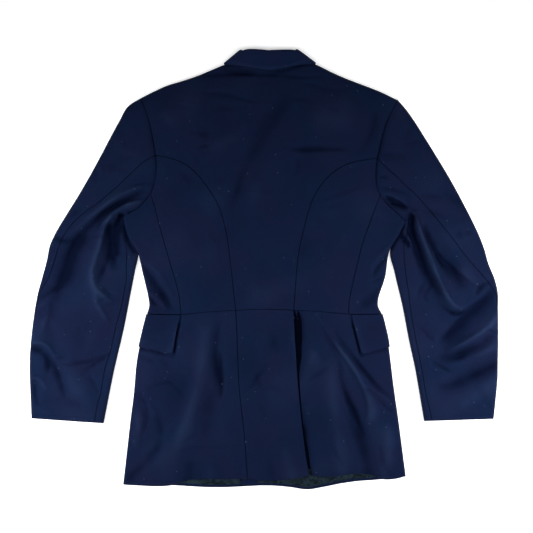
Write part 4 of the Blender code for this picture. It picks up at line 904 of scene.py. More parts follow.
def cut_back(lines):
    """The centre back and the two side backs, from the waist seam up to the shoulders and armholes."""
    sides, folds = {}, {}
    for side in ("left", "right"):
        own = lines[side]
        shoulder = resample(own["shoulder"], SHOULDER_COLUMNS)[:-1]
        folds[side] = shoulder_fold(shoulder)
        princess = from_waist(own["princess"], SEAM_STEPS)
        upper = stretch(own["armhole"], princess[-1], own["armhole"][0], UPPER_ARMHOLE_STEPS)
        sides[side] = joined(princess, moved_end(upper, folds[side][0][0]))
    neck = smooth_line(NECK, NECK_COLUMNS)
    neck_outward = np.tile((0.0, 1.0), (len(neck), 1))
    neck_outward[0] = folds["left"][1][-1]
    neck_outward[-1] = folds["right"][1][-1]
    flat_head = np.vstack((folds["left"][0], neck, folds["right"][0][::-1]))
    outward = np.vstack((folds["left"][1], neck_outward, folds["right"][1][::-1]))
    reach = np.full(len(flat_head), FOLD_REACH)
    reach[len(folds["left"][0]) : -len(folds["right"][0])] = NECK_FOLD_REACH
    foot = on_waist(sides["left"][0, 0], sides["right"][0, 0], len(flat_head) - 1)
    plan = patch(foot, flat_head, sides["left"], sides["right"])
    plan = drawn_in(plan, foot=WAIST_INSET, left=SEAM_INSET, right=SEAM_INSET)
    # Above the princess seams the sides are the armholes, which have their own inset.
    for edge, next_column in ((0, 1), (-1, -2)):
        inward = plan[SEAM_STEPS:, next_column] - plan[SEAM_STEPS:, edge]
        inward /= np.linalg.norm(inward, axis=-1, keepdims=True)
        plan[SEAM_STEPS:, edge] += (ARMHOLE_INSET - SEAM_INSET) * inward
    height = top_height(plan, BODY_TOP)
    inner_height = np.maximum(height - BACK_WALL - shoulder_pad(plan), back_floor(plan) + LEAST_INNER_GAP)
    middle = shoulder_middle(plan[-1]) + LAYER_GAP / 2
    outer, inner = rolled_head(plan, outward, reach, height, inner_height, middle, ROLL_WALL)
    keep("back_centre", outer, inner)
    for side in ("left", "right"):
        own = lines[side]
        princess = from_waist(own["princess"], SEAM_STEPS)
        seam = from_waist(own["side_seam"], SEAM_STEPS)
        head = stretch(own["armhole"], seam[-1], princess[-1], MIDDLE_ARMHOLE_STEPS)
        foot = on_waist(seam[0, 0], princess[0, 0], MIDDLE_ARMHOLE_STEPS)
        plan = patch(foot, head, seam, princess)
        plan = drawn_in(plan, WAIST_INSET, ARMHOLE_INSET, SEAM_INSET, SEAM_INSET)
        height = top_height(plan, BODY_TOP)
        keep(f"back_side_{side}", raised(plan, height), raised(plan, height - BACK_WALL))


def shoulder_pad(plan):
    """Thickness of the padding inside the cloth at the shoulders."""
    return sum(rise_shape(plan[..., 0], plan[..., 1], row) for row in RISES[:2])


def shoulder_middle(plan):
    """Height where the back meets a front, half-way down the shoulder's fold."""
    return 0.5 * BODY_TOP + 0.5 * front_height(plan, "left")


def cut_side_panels(lines):
    """The panel under each arm, from the side-back seam round the fold to the front's side seam."""
    for side in ("left", "right"):
        own = lines[side]
        seam = from_waist(own["side_seam"], SEAM_STEPS)
        flat_edge, outward = side_fold(resample(own["body_edge"], SEAM_STEPS))
        armhole = stretch(own["armhole"], seam[-1], own["body_edge"][-1], MIDDLE_ARMHOLE_STEPS)
        head = moved_end(armhole, flat_edge[-1])
        foot = on_waist(seam[0, 0], flat_edge[0, 0], MIDDLE_ARMHOLE_STEPS)
        plan = patch(foot, head, seam, flat_edge)
        plan = drawn_in(plan, foot=WAIST_INSET, head=UNDER_ARM_INSET, left=SEAM_INSET)
        heights = (top_height(plan, BODY_TOP), np.zeros(plan.shape[:2]))
        wrapped_wall(f"side_{side}", plan, plan[:, ::-1], outward, heights, (BACK_WALL, FRONT_WALL))


def cut_fronts(lines):
    """The two fronts, which lie below with their outer faces down, from waist seam to shoulder."""
    for side in ("left", "right"):
        own = lines[side]
        seam = from_waist(own["side_seam"], SEAM_STEPS)
        shoulder = resample(own["shoulder"], FRONT_COLUMNS)
        flat_head, outward = shoulder_fold(shoulder)
        reach = np.full(len(shoulder), FOLD_REACH)
        flat_head[-1] = own["front_neck"][-1]
        reach[-1] = NECK_FOLD_REACH
        armhole = stretch(own["armhole"], seam[-1], shoulder[0], MIDDLE_ARMHOLE_STEPS + UPPER_ARMHOLE_STEPS)
        outside = joined(seam, moved_end(armhole, flat_head[0]))
        lap_x = own["front_neck"][0][0]
        front_edge = front_edge_from(lap_x, own["front_neck"][0], FRONT_EDGE_STEPS)
        edge = joined(front_edge, resample(own["front_neck"], FRONT_NECK_STEPS))
        plan = patch(on_waist(seam[0, 0], lap_x, FRONT_COLUMNS), flat_head, outside, edge)
        plan = drawn_in(plan, foot=WAIST_INSET, left=ARMHOLE_INSET)
        height = front_height(plan, side)
        middle = shoulder_middle(plan[-1]) - LAYER_GAP / 2
        outer, inner = rolled_head(plan, outward, reach, height, height + FRONT_WALL, middle, ROLL_WALL)
        keep(f"front_{side}", outer, inner)


def cut_skirts(lines):
    """The centre back skirt, each side skirt round to the front edge, and what lies on the skirts."""
    left_pleat = resample(lines["left"]["pleat"], SKIRT_ROWS)
    right_pleat = smooth_line(CENTRE_PLEAT_RIGHT, SKIRT_ROWS)
    waist = on_waist(left_pleat[0, 0], right_pleat[0, 0], BACK_SKIRT_COLUMNS)
    hem = moved_end(smooth_line(CENTRE_HEM, BACK_SKIRT_COLUMNS), right_pleat[-1])
    plan = patch(waist, hem, left_pleat, right_pleat)
    plan = drawn_in(plan, foot=WAIST_INSET, left=SEAM_INSET, right=SEAM_INSET)
    height = top_height(plan, BODY_TOP) + PLEAT_EDGE_LIFT
    keep("skirt_back", raised(plan, height), raised(plan, height - BACK_WALL))
    for side in ("left", "right"):
        own = lines[side]
        pleat = from_waist(own["pleat"], SKIRT_ROWS)
        flat_edge, outward = side_fold(resample(own["skirt_edge"], SKIRT_ROWS))
        hem = moved_end(resample(own["back_hem"], SKIRT_COLUMNS), flat_edge[-1])
        waist = on_waist(pleat[0, 0], flat_edge[0, 0], SKIRT_COLUMNS)
        top_plan = patch(waist, hem, pleat, flat_edge)
        top_plan = drawn_in(top_plan, foot=WAIST_INSET, left=SEAM_INSET)
        lap_x = own["front_hem"][0][0]
        front_edge = front_edge_from(lap_x, own["front_hem"][0], SKIRT_ROWS)
        front_hem = moved_end(resample(own["front_hem"], FRONT_COLUMNS), flat_edge[-1])
        waist = on_waist(lap_x, flat_edge[0, 0], FRONT_COLUMNS)
        bottom_plan = patch(waist, front_hem, front_edge, flat_edge)[:, ::-1]
        bottom_plan = drawn_in(bottom_plan, foot=WAIST_INSET)
        bottom_height = skirt_front_height(bottom_plan, side)
        recess = LINING_RECESS * ramp(bottom_plan[..., 1], LINING_RAMP_Y)
        heights = (top_height(top_plan, BODY_TOP), bottom_height)
        walls = (BACK_WALL, FRONT_WALL - recess)
        wrapped_wall(f"skirt_{side}", top_plan, bottom_plan, outward, heights, walls)
        cut_lining(side, bottom_plan, bottom_height)
        cut_underlay(side, pleat)
        cut_flap(side, own, flat_edge, outward)


def cut_lining(side, skirt_plan, skirt_height):
    """The satin inside a front's hem, on the thinner strip of the skirt."""
    plan = skirt_plan[-LINING_ROWS:, 1:-1]
    plan = drawn_in(plan, foot=LINING_HEM_MARGIN, head=LINING_HEM_MARGIN)
    low = skirt_height[-LINING_ROWS:, 1:-1] + FRONT_WALL - LINING_WALL
    keep(f"lining_{side}", raised(plan, low + LINING_WALL), raised(plan, low))


def cut_underlay(side, pleat):
    """The hidden layer behind a pleat, which shows where the pleat stands open."""
    offsets = np.linspace(-UNDERLAY_HALF_WIDTH, UNDERLAY_HALF_WIDTH, UNDERLAY_COLUMNS + 1)
    plan = pleat[:, None] + np.stack((offsets, np.zeros_like(offsets)), axis=1)[None]
    plan[0, :, 1] = waist_y(plan[0, :, 0]) - UNDERLAY_WAIST_MARGIN
    plan[-1, :, 1] += UNDERLAY_HEM_MARGIN
    top = top_height(plan, BODY_TOP) - BACK_WALL - LAYER_GAP
    keep(f"pleat_underlay_{side}", raised(plan, top), raised(plan, top - UNDERLAY_WALL))


def at_heights(values, falling_y, wanted_y):
    """Values along a line that runs down, at the wanted places."""
    return np.stack([np.interp(-wanted_y, -falling_y, values[:, axis]) for axis in range(2)], axis=1)


def cut_flap(side, own, skirt_edge, skirt_outward):
    """A pocket flap that hangs from the waist seam, round the side fold and on below."""
    foot_y = own["flap_foot"][-1, 1]
    y = np.linspace(skirt_edge[0, 1] - FLAP_WAIST_MARGIN, foot_y, FLAP_ROWS + 1)
    edge = at_heights(skirt_edge, skirt_edge[:, 1], y)
    outward = at_heights(skirt_outward, skirt_edge[:, 1], y)
    plans = []
    for line, columns in (("flap", FLAP_TOP_COLUMNS), ("flap_front", FLAP_BOTTOM_COLUMNS)):
        end = resample(own[f"{line}_end"], FLAP_ROWS)
        foot = moved_end(resample(own[f"{line}_foot"], columns), edge[-1])
        head = on_waist(end[0, 0], edge[0, 0], columns)
        head[:, 1] -= FLAP_WAIST_MARGIN
        end[0] = head[0]
        plans.append(patch(head, foot, end, edge))
    top_plan, bottom_plan = plans[0], plans[1][:, ::-1]
    heights = (top_height(top_plan, BODY_TOP) + FLAP_LIFT, np.zeros(bottom_plan.shape[:2]))
    walls = (FLAP_WALL, FLAP_WALL)
    reach = FOLD_REACH + FLAP_LIFT
    wrapped_wall(f"flap_{side}", top_plan, bottom_plan, outward, heights, walls, reach)


# Collar


def collar_grid(edge, roll, shares):
    """A grid from the collar's free edge to its roll."""
    return edge[None] * (1 - shares[:, None, None]) + roll[None] * shares[:, None, None]


def cut_collar(lines):
    """The collar's fall behind the neck, turned round both sides into a leaf on each front."""
    shares, thickness, easing = np.array(COLLAR_SECTION).T
    sides, outwards, leaves = {}, {}, {}
    for side in ("left", "right"):
        own = lines[side]
        start, end = own["collar_edge"][0], own["collar_roll"][0]
        side_line = start + shares[:, None] * (end - start)
        outwards[side] = outward_of(side_line, np.array(COLLAR_MIDDLE))
        sides[side] = side_line - COLLAR_REACH * outwards[side]
        leaf_edge = moved_end(resample(own["leaf_edge"], LEAF_COLUMNS)[::-1], sides[side][0])[::-1]
        leaf_roll = moved_end(resample(own["leaf_roll"], LEAF_COLUMNS)[::-1], sides[side][-1])[::-1]
        leaves[side] = collar_grid(leaf_edge, leaf_roll, shares)
    edges = []
    for name, row in (("collar_edge", 0), ("collar_roll", -1)):
        line = resample(joined(lines["left"][name], lines["right"][name][::-1]), COLLAR_COLUMNS)
        line = moved_end(line, sides["right"][row])
        edges.append(moved_end(line[::-1], sides["left"][row])[::-1])
    top_plan = collar_grid(*edges, shares)
    angles = np.linspace(0.0, math.pi, ARC_STEPS + 1)[1:-1]
    grids = []
    for depth in (easing, thickness - easing):
        arcs = {}
        for side in ("left", "right"):
            reach = COLLAR_REACH - depth
            arcs[side] = arc_points(sides[side], outwards[side], COLLAR_TOP - depth, depth, reach, angles)
        pieces = (
            raised(leaves["left"][:, ::-1], depth[:, None]),
            arcs["left"][:, ::-1],
            raised(top_plan, COLLAR_TOP - depth[:, None]),
            arcs["right"],
            raised(leaves["right"], depth[:, None]),
        )
        grids.append(np.concatenate(pieces, axis=1))
    keep("collar", grids[0], grids[1])


# Sleeves


def seam_places(dense_plan, seam):
    """For each row of a grid, the share of its width where it meets a seam, and how far off it is."""
    shares, misses = [], []
    for row in dense_plan:
        distance = np.hypot(*(row[:, None] - seam[None]).transpose(2, 0, 1)).min(axis=1)
        nearest = int(np.argmin(distance))
        shares.append(nearest / (len(row) - 1))
        misses.append(distance[nearest])
    return np.array(shares), np.array(misses)


def ring_grids(turns, dense_plan, edges, outwards):
    """Outer and inner grids round a sleeve, where turns holds each row's places on the ring.

    0 to 1 is the upper face from the inner edge to the outer one, 1 to 2 the outer fold, 2 to 3 the lower
    face back to the inner edge, 3 to 4 the inner fold, and from 4 the upper face again.
    """
    shares = np.linspace(0.0, 1.0, dense_plan.shape[1])
    upper = top_height(dense_plan, SLEEVE_TOP)
    grids = []
    for depth in (0.0, SLEEVE_WALL):
        grid = np.zeros(turns.shape + (3,))
        for row, places in enumerate(turns):
            plan = [np.interp(ring_share(places), shares, dense_plan[row, :, axis]) for axis in range(2)]
            top = np.interp(ring_share(places), shares, upper[row]) - depth
            height = np.where((places > 2) & (places < 3), depth, top)
            points = np.stack((*plan, height), axis=1)
            for start, name, column in ((1, "outer", -1), (3, "inner", 0)):
                on_fold = (places >= start) & (places <= start + 1)
                angle = math.pi * (places[on_fold] - start)
                angle = angle if start == 1 else math.pi - angle
                arc = arc_points(
                    edges[name][row : row + 1],
                    outwards[name][row : row + 1],
                    upper[row : row + 1, column] - depth,
                    np.array((depth,)),
                    FOLD_REACH - depth,
                    angle,
                )
                points[on_fold] = arc[0]
            grid[row] = points
        grids.append(grid)
    return grids


def ring_share(places):
    """The share of a sleeve's width at a place on its ring."""
    return np.interp(places, (0, 1, 2, 3, 4, 5), (0, 1, 1, 0, 0, 1))


def spread(knots, counts):
    """Places on each row between that row's knots, with a number of steps for each stretch."""
    columns = [knots[0][:, None]]
    for start, end, count in zip(knots, knots[1:], counts):
        part = np.linspace(0.0, 1.0, count + 1)[None, 1:]
        columns.append(start[:, None] + part * (end - start)[:, None])
    return np.concatenate(columns, axis=1)


def cut_sleeves(lines):
    """Two-piece sleeves: the under sleeve lies on top here, and the top sleeve goes round below."""
    for side in ("left", "right"):
        own = lines[side]
        outer_edge = resample(own["sleeve_outer"], SLEEVE_ROWS)
        inner_line = resample(own["sleeve_inner"], SLEEVE_ROWS * ROW_SAMPLES)
        pace = np.interp(np.linspace(0.0, 1.0, SLEEVE_ROWS + 1), *ARMPIT_PACE)
        picks = np.round(pace * (len(inner_line) - 1)).astype(int)
        inner_edge = inner_line[picks]
        outwards = {
            "outer": outward_of(outer_edge, inner_edge),
            "inner": outward_of(inner_edge, outer_edge),
        }
        seam_end = own["armhole"][0] - own["armhole"][ARMHOLE_END_POINTS]
        outwards["outer"][0] = seam_end / np.hypot(*seam_end)
        edges = {
            "outer": outer_edge - FOLD_REACH * outwards["outer"],
            "inner": inner_edge - FOLD_REACH * outwards["inner"],
        }
        armhole = stretch(own["armhole"], edges["inner"][0], edges["outer"][0], SLEEVE_SAMPLES)
        armhole = moved_end(moved_end(armhole, edges["outer"][0])[::-1], edges["inner"][0])[::-1]
        cuff = resample(np.array((edges["inner"][-1], edges["outer"][-1])), SLEEVE_SAMPLES)
        dense_plan = patch(armhole, cuff, edges["inner"], edges["outer"], ARMHOLE_FADING)
        hind, missed = seam_places(dense_plan, own["hind_seam"])
        fore, _ = seam_places(dense_plan, own["fore_seam"])
        fore = np.clip(fore, *FORE_SEAM_RANGE)
        gone = np.maximum.accumulate((hind > HIND_SEAM_LIMIT) | (missed > HIND_SEAM_MISS))
        over_fold = np.minimum(1.0 + HIND_SEAM_STEP * (np.cumsum(gone) - 1), HIND_SEAM_END)
        hind = np.where(gone, over_fold, np.minimum(hind, HIND_SEAM_LIMIT))
        before_hind = np.minimum(1.0, hind - HIND_SEAM_BEFORE)
        after_hind = np.maximum(1.0, hind + HIND_SEAM_AFTER)
        ones = np.ones(SLEEVE_ROWS + 1)
        under_turns = spread((fore, before_hind, hind), UNDER_SLEEVE_STEPS)
        top_knots = (hind, after_hind, 2 * ones, 3 * ones, 4 * ones, 4 + fore)
        top_turns = spread(top_knots, TOP_SLEEVE_STEPS)
        for name, turns in (("under", under_turns), ("top", top_turns)):
            outer, inner = ring_grids(turns, dense_plan, edges, outwards)
            insets = dict(foot=SLEEVE_HEAD_INSET, left=SLEEVE_INSET, right=SLEEVE_INSET)
            outer, inner = drawn_in(outer, **insets), drawn_in(inner, **insets)
            keep(f"{name}_sleeve_{side}", outer, inner)


# Finer grids


def spline_along(grid, places, corners=()):
    """The grid's rows at fractional places, on a smooth curve that passes through every row."""
    if corners:
        marks = [0, *corners, len(grid) - 1]
        parts = []
        for start, end in zip(marks, marks[1:]):
            last = end == marks[-1]
            own = places[(places >= start) & ((places <= end) if last else (places < end))]
            parts.append(spline_along(grid[start : end + 1], own - start))
        return np.concatenate(parts)
    ends = np.concatenate(([2 * grid[0] - grid[1]], grid, [2 * grid[-1] - grid[-2]]))
    index = np.clip(np.floor(places).astype(int), 0, len(grid) - 2)
    share = (places - index).reshape((-1,) + (1,) * (grid.ndim - 1))
    return curve_between(*(ends[index + step] for step in range(4)), share)


def places_along(grid, cell):
    """Fractional places along the grid's rows: a cell apart, coarser below, and closer beside both ends."""
    steps = np.linalg.norm(np.diff(grid, axis=0), axis=-1).mean(axis=1)
    run = np.concatenate(([0.0], np.cumsum(steps)))
    total = run[-1]
    height = grid[..., 2].mean(axis=1)
    own_cell = cell * np.where(np.maximum(height[1:], height[:-1]) < UPPER_FROM, LOWER_CELL, 1.0)
    counted = np.concatenate(([0.0], np.cumsum(steps / own_cell)))
    marks = np.linspace(0.0, counted[-1], max(LEAST_CELLS, round(counted[-1])) + 1)
    marks = np.interp(marks, counted, run)
    near = [mark for mark in EDGE_LOOPS if mark < total / EDGE_PART]
    margin = near[-1] + cell / EDGE_PART if near else 0.0
    inside = marks[(marks > margin) & (marks < total - margin)]
    marks = np.concatenate(([0.0], near, inside, total - np.array(near)[::-1], [total]))
    return np.interp(marks, run, np.arange(len(run)))


def corners_of(line):
    """The places on an edge where its plan turns sharply."""
    step = np.diff(line, axis=0)
    flat = np.abs(step[:, 2]) < CORNER_RISE * np.linalg.norm(step, axis=1)
    heading = np.arctan2(step[:, 1], step[:, 0])
    turn = np.abs((np.diff(heading) + math.pi) % (2 * math.pi) - math.pi)
    sharp = (turn > CORNER_TURN) & flat[1:] & flat[:-1]
    return [int(place) + 1 for place in np.flatnonzero(sharp)]


def finer(grid, rows_at, columns_at):
    """The grid at fractional rows and columns, with the corners of its edges kept."""
    fine = spline_along(grid, rows_at)
    for column in (0, -1):
        corners = corners_of(grid[:, column])
        if corners:
            miss = spline_along(grid[:, column], rows_at, corners) - fine[:, column]
            reach = np.abs(np.arange(grid.shape[1]) - (column % grid.shape[1]))
            fine += miss[:, None] * (np.clip(1 - reach / CORNER_REACH, 0, 1) ** 2)[None, :, None]
    rows = fine.transpose(1, 0, 2)
    fine = spline_along(rows, columns_at)
    for row in (0, -1):
        corners = corners_of(grid[row])
        if corners:
            miss = spline_along(rows[:, row], columns_at, corners) - fine[:, row]
            reach = np.abs(rows_at - rows_at[row])
            fine += miss[:, None] * (np.clip(1 - reach / CORNER_REACH, 0, 1) ** 2)[None, :, None]
    return fine.transpose(1, 0, 2)


def rim_distance(grid):
    """For each point, how far it is from the piece's nearest edge, along the cloth."""
    found = np.full(grid.shape[:2], np.inf)
    for axis in (0, 1):
        steps = np.linalg.norm(np.diff(grid, axis=axis), axis=-1)
        start = np.zeros_like(np.take(steps, [0], axis=axis))
        run = np.concatenate((start, np.cumsum(steps, axis=axis)), axis=axis)
        whole = np.take(run, [-1], axis=axis)
        found = np.minimum(found, np.minimum(run, whole - run))
    return found


# Creases


def crease_lift(x, y, row, power):
    """How far one crease lifts the cloth at each place. A power below 2 makes its middle sharp."""
    height, half_width, points, lean, start, end = (*row, 0, 0, 0)[:6]
    line = smooth_line(points, CREASE_STEPS)
    reach = CREASE_REACH * half_width
    low, high = line.min(axis=0) - reach, line.max(axis=0) + reach
    lift = np.zeros_like(x)
    near = np.flatnonzero((x > low[0]) & (x < high[0]) & (y > low[1]) & (y < high[1]))
    if not len(near):
        return lift
    nearest, place, side = nearest_on(line, x[near], y[near])
    taper = np.sin(math.pi * place) ** CREASE_END_POWER
    taper = np.where(place < 0.5, start + (1 - start) * taper, end + (1 - end) * taper)
    uneven = 1
    for (share, turns, shift), first_place in zip(CREASE_SWELLS, points[0]):
        uneven = uneven + share * np.sin(turns * place + shift * first_place)
    width = half_width * (1 + lean * side) * (CREASE_END_WIDTH + (1 - CREASE_END_WIDTH) * taper)
    lift[near] = height * taper * uneven * np.exp(-((nearest / width) ** power))
    return lift


def soft_waves(x, y):
    """The slight waviness of cloth that was laid down by hand, between -1 and 1 or so."""
    draw = np.random.RandomState(WAVE_SEED)
    total = np.zeros_like(x)
    for _ in range(WAVE_COUNT):
        length = draw.uniform(*WAVE_LENGTHS)
        angle, phase = draw.uniform(0, 2 * math.pi, 2)
        along = x * math.cos(angle) + y * math.sin(angle)
        total += np.sin(2 * math.pi * along / length + phase) * length
    return total / (WAVE_LENGTHS[1] * math.sqrt(WAVE_COUNT / 2))


def all_lifts(x, y, rows, power=SOFT_FOLD):
    """The lift of many creases together."""
    total = np.zeros_like(x)
    for row in rows:
        total += crease_lift(x, y, row, power)
    return total


def deep_folds_of(name):
    """The deep folds that belong to a piece. Both halves of a sleeve share the sleeve's."""
    return [row for end, rows in DEEP_FOLDS.items() if name.endswith(end) for row in rows]


def kept_above(lift, z):
    """The lift, with its deepest folds held above the cloth that lies below."""
    room = np.maximum(z - LEAST_FOLDED_HEIGHT, LEAST_ROOM)
    down = np.minimum(lift, 0)
    return np.maximum(lift, 0) + down / (1 + (down / room) ** PRESSED_POWER) ** (1 / PRESSED_POWER)


# Making a piece


def cloth_lift(name, cloth, x, y, z):
    """How far a piece's creases, folds and waves lift it at each place."""
    upper = np.zeros_like(z) if name in LOWER_PIECES else ramp(z, (UPPER_FROM, UPPER_FULL))
    waves = cloth.waviness * MILLIMETRES * soft_waves(x, y)
    lift = upper * (cloth.crease_strength * all_lifts(x, y, CREASES) + waves)
    lift += upper * all_lifts(x, y, deep_folds_of(name), SHARP_FOLD)
    under = np.zeros_like(z) if name.startswith("lining") else 1 - ramp(z, (0.0, UPPER_FROM))
    return lift + under * (cloth.crease_strength * all_lifts(x, y, UNDER_CREASES))


def make_piece(name, cloth, material, turn):
    """One closed piece of cloth from its two coarse grids, with creases, rolled edges and its grain."""
    outer, inner = CUT[name]
    cell = cloth.cell * MILLIMETRES
    rows_at, columns_at = places_along(outer, cell), places_along(outer.transpose(1, 0, 2), cell)
    outer, inner = finer(outer, rows_at, columns_at), finer(inner, rows_at, columns_at)
    shape = outer.shape[:2]
    x, y, z = (outer[..., axis].ravel() for axis in range(3))
    fold = cloth_lift(name, cloth, x, y, z)
    lift = kept_above(fold, z).reshape(shape)
    distance = rim_distance(outer)
    near = np.clip(1 - distance / (cloth.edge_radius * MILLIMETRES), 0, 1)
    rolled = cloth.edge_roll * (1 - np.sqrt(1 - near**2))[..., None]
    outer = outer + rolled * (inner - outer)
    outer[..., 2] += lift
    inner[..., 2] += lift
    lowest = np.where(z.reshape(shape) > LEAST_FOLDED_HEIGHT, LEAST_FOLDED_HEIGHT - FOLDED_WALL, -np.inf)
    inner[..., 2] = np.maximum(inner[..., 2], lowest)
    piece = wall_mesh(name, outer, inner, material)
    for title, values in (("edge", np.clip(distance, 0, EDGE_NOTE_LIMIT)), ("fold", fold)):
        layer = piece.data.attributes.new(title, "FLOAT", "POINT")
        layer.data.foreach_set("value", np.tile(values.ravel(), 2).astype(np.float32))
    add_grain(piece, turn)
    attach(piece, "root")
    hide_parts(name)
    return piece


def wall_mesh(name, outer, inner, material):
    """A closed wall between two grids, as an object of its own."""
    rows, columns = outer.shape[:2]
    size = rows * columns
    places = np.concatenate((outer.reshape(-1, 3), inner.reshape(-1, 3)))
    places[:, :2] -= CENTRE
    index = np.arange(size).reshape(rows, columns)
    corners = (index[:-1, :-1], index[:-1, 1:], index[1:, 1:], index[1:, :-1])
    quads = np.stack(corners, axis=-1).reshape(-1, 4)
    rim = np.concatenate((index[0], index[1:, -1], index[-1, -2::-1], index[-2:0:-1, 0]))
    after = np.roll(rim, -1)
    edge = np.stack((after, rim, rim + size, after + size), axis=-1)
    faces = np.concatenate((quads, quads[:, ::-1] + size, edge))
    mesh = bpy.data.meshes.new(f"{name}_cloth")
    mesh.from_pydata((places * METRES).tolist(), [], faces.tolist())
    mesh.materials.append(material)
    item = bpy.data.objects.new(f"{name}_cloth", mesh)
    bpy.context.scene.collection.objects.link(item)
    bpy.ops.object.select_all(action="DESELECT")
    item.select_set(True)
    bpy.context.view_layer.objects.active = item
    bpy.ops.object.mode_set(mode="EDIT")
    bpy.ops.mesh.select_all(action="SELECT")
    bpy.ops.mesh.normals_make_consistent(inside=False)
    bpy.ops.object.mode_set(mode="OBJECT")
    bpy.ops.object.shade_smooth_by_angle(angle=SMOOTH_ANGLE)
    return item


def add_grain(piece, turn):
    """A UV map in metres, seen from above and turned to the piece's own grain."""
    mesh = piece.data
    layer = mesh.uv_layers.new(name="grain")
    places = np.zeros(len(mesh.vertices) * 3)
    mesh.vertices.foreach_get("co", places)
    places = places.reshape(-1, 3)
    corners = np.zeros(len(mesh.loops), int)
    mesh.loops.foreach_get("vertex_index", corners)
    x, y = places[corners, 0], places[corners, 1]
    across = x * math.cos(turn) + y * math.sin(turn)
    along = -x * math.sin(turn) + y * math.cos(turn)
    layer.data.foreach_set("uv", np.stack((across, along), axis=1).ravel())


# Materials

# Noises of the cloth's grain: scale, detail, roughness and distortion, with repeats counted in one metre.
PATCHES = (11.0, 3.0, 0.55, 0.5)
MOTTLE = (420.0, 3.0, 0.7, 0.0)
NAP = (900.0, 4.0, 0.7, 0.0)
RUMPLE = (46.0, 4.0, 0.62, 0.6)
CRINKLES = (60.0, 3.0, 0.6, 1.6)
THREADS = (1500.0, 1.0, 0.5, 0.0)
LINT_SCALE = 52.0

# Tints: factors on the wool's or the satin's own red, green and blue.
PURPLE_TINT = (1.6, 0.97, 1.0)
BLUE_TINT = (0.78, 1.12, 1.06)
MOTTLE_TINT = (0.6, 0.6, 0.6)
# Painted shade: the wool is darkened in the hollows of the creases, where shade falls.
VALLEY_PAINTED_SHADE = (0.02, 0.05, 0.12)
# Painted light: the wool is lightened on the crests of the creases, a painted highlight.
RIDGE_PAINTED_LIGHT = (2.6, 2.35, 1.8)
# Painted shade: the wool is darkened along every seam and edge, where shade falls in the ditch between
# pieces.
SEAM_PAINTED_SHADE = (0.05, 0.05, 0.05)
# Painted shade and painted sheen: the satin is darkened in its crinkles' hollows and lightened on their
# crests.
SATIN_PAINTED_SHADE = (0.25, 0.25, 0.25)
SATIN_PAINTED_SHEEN = (2.2, 2.2, 2.2)

# How a measure of the cloth becomes a share: its two ends, then the share at each. For the painted shade in
# the creases and the painted light on their crests the ends are heights of the creases, and for the painted
# shade along the seams and edges they are distances from the edge.
PATCH_SHARE = (0.36, 0.64, 0.0, 1.0)
MOTTLE_SHARE = (0.32, 0.68, 0.0, 0.9)
VALLEY_SHADE_SHARE = (-4.6, -0.35, 0.96, 0.0)
RIDGE_LIGHT_SHARE = (0.3, 4.0, 0.0, 0.7)
SEAM_SHADE_SHARE = (0.3, 1.0, 0.85, 0.0)
LINT_SHARE = (0.02, 0.055, 0.7, 0.0)
ROUGHNESS_SHARE = (0.2, 0.8, 0.54, 0.66)
CRINKLE_SHARE = (0.38, 0.62, 0.0, 1.0)

# Reliefs: their height in metres, and their strength.
TWILL_RELIEF = (0.00012, 0.55)
NAP_RELIEF = (0.00022, 0.6)
RUMPLE_RELIEF = (0.0022, 0.44)
CRINKLE_RELIEF = (0.004, 0.9)
THREAD_RELIEF = (0.0001, 0.3)

# The twill's slope across the grain, how its ribs wander, and how far the wave texture turns in one unit.
TWILL_SLOPE = math.radians(63)
TWILL_WANDER = {"Distortion": 1.2, "Detail": 1.0, "Detail Scale": 2.0}
WAVE_TURN = 20.0

# Colours of what the wool and the satin throw back.
NAP_SHEEN = (0.42, 0.55, 1.0, 1.0)
NAP_SHEEN_ROUGHNESS = 0.45
WOOL_SHINE = (0.16, 0.31, 1.0, 1.0)
SATIN_SHINE = (0.5, 0.78, 1.0, 1.0)
SATIN_ROUGHNESS = 0.42
SATIN_GLOSS = 0.09

# The wool's depth of colour and its gloss as multiples: outside; inside a pleat, a darker and duller copy
# that is painted shade, as the underlay only shows in the pleat's shadow; and on the collar, a lighter copy
# that is painted light, making up for the light its sloping fall doesn't get.
WOOLS = {
    "navy_wool_cloth": (1.0, 1.0),
    # Painted shade: the darker copy for the pleat underlays.
    "navy_wool_painted_shade_cloth": (0.15, 0.12),
    # Painted light: the lighter copy for the collar.
    "navy_wool_collar_painted_light_cloth": (1.5, 1.15),
}


def new_material(name):
    """A material with nodes, its tree and its shader."""
    material = bpy.data.materials.new(name)
    material.use_nodes = True
    tree = material.node_tree
    return material, tree, tree.nodes["Principled BSDF"]


def node(tree, kind, **settings):
    """A new node, with the values of its inputs or its own settings."""
    made = tree.nodes.new(kind)
    for key, value in settings.items():
        if key in made.inputs:
            made.inputs[key].default_value = value
        else:
            setattr(made, key, value)
    return made


def noise(tree, vector, scale, detail, roughness, distortion):
    """A noise over the cloth, between 0 and 1."""
    settings = {"Scale": scale, "Detail": detail, "Roughness": roughness, "Distortion": distortion}
    made = node(tree, "ShaderNodeTexNoise", **settings)
    tree.links.new(vector, made.inputs["Vector"])
    return made.outputs["Fac"]


def spread_of(tree, value, low, high, to_low, to_high):
    """The value, spread from its own two ends to two others."""
    ends = {"From Min": low, "From Max": high, "To Min": to_low, "To Max": to_high}
    made = node(tree, "ShaderNodeMapRange", **ends)
    tree.links.new(value, made.inputs["Value"])
    return made.outputs["Result"]


def blend_colours(tree, share, first, second):
    """A mix of two colours, each a socket or four numbers."""
    made = node(tree, "ShaderNodeMix", data_type="RGBA")
    for socket, value in ((made.inputs[0], share), (made.inputs[6], first), (made.inputs[7], second)):
        if isinstance(value, bpy.types.NodeSocket):
            tree.links.new(value, socket)
        else:
            socket.default_value = value
    return made.outputs[2]


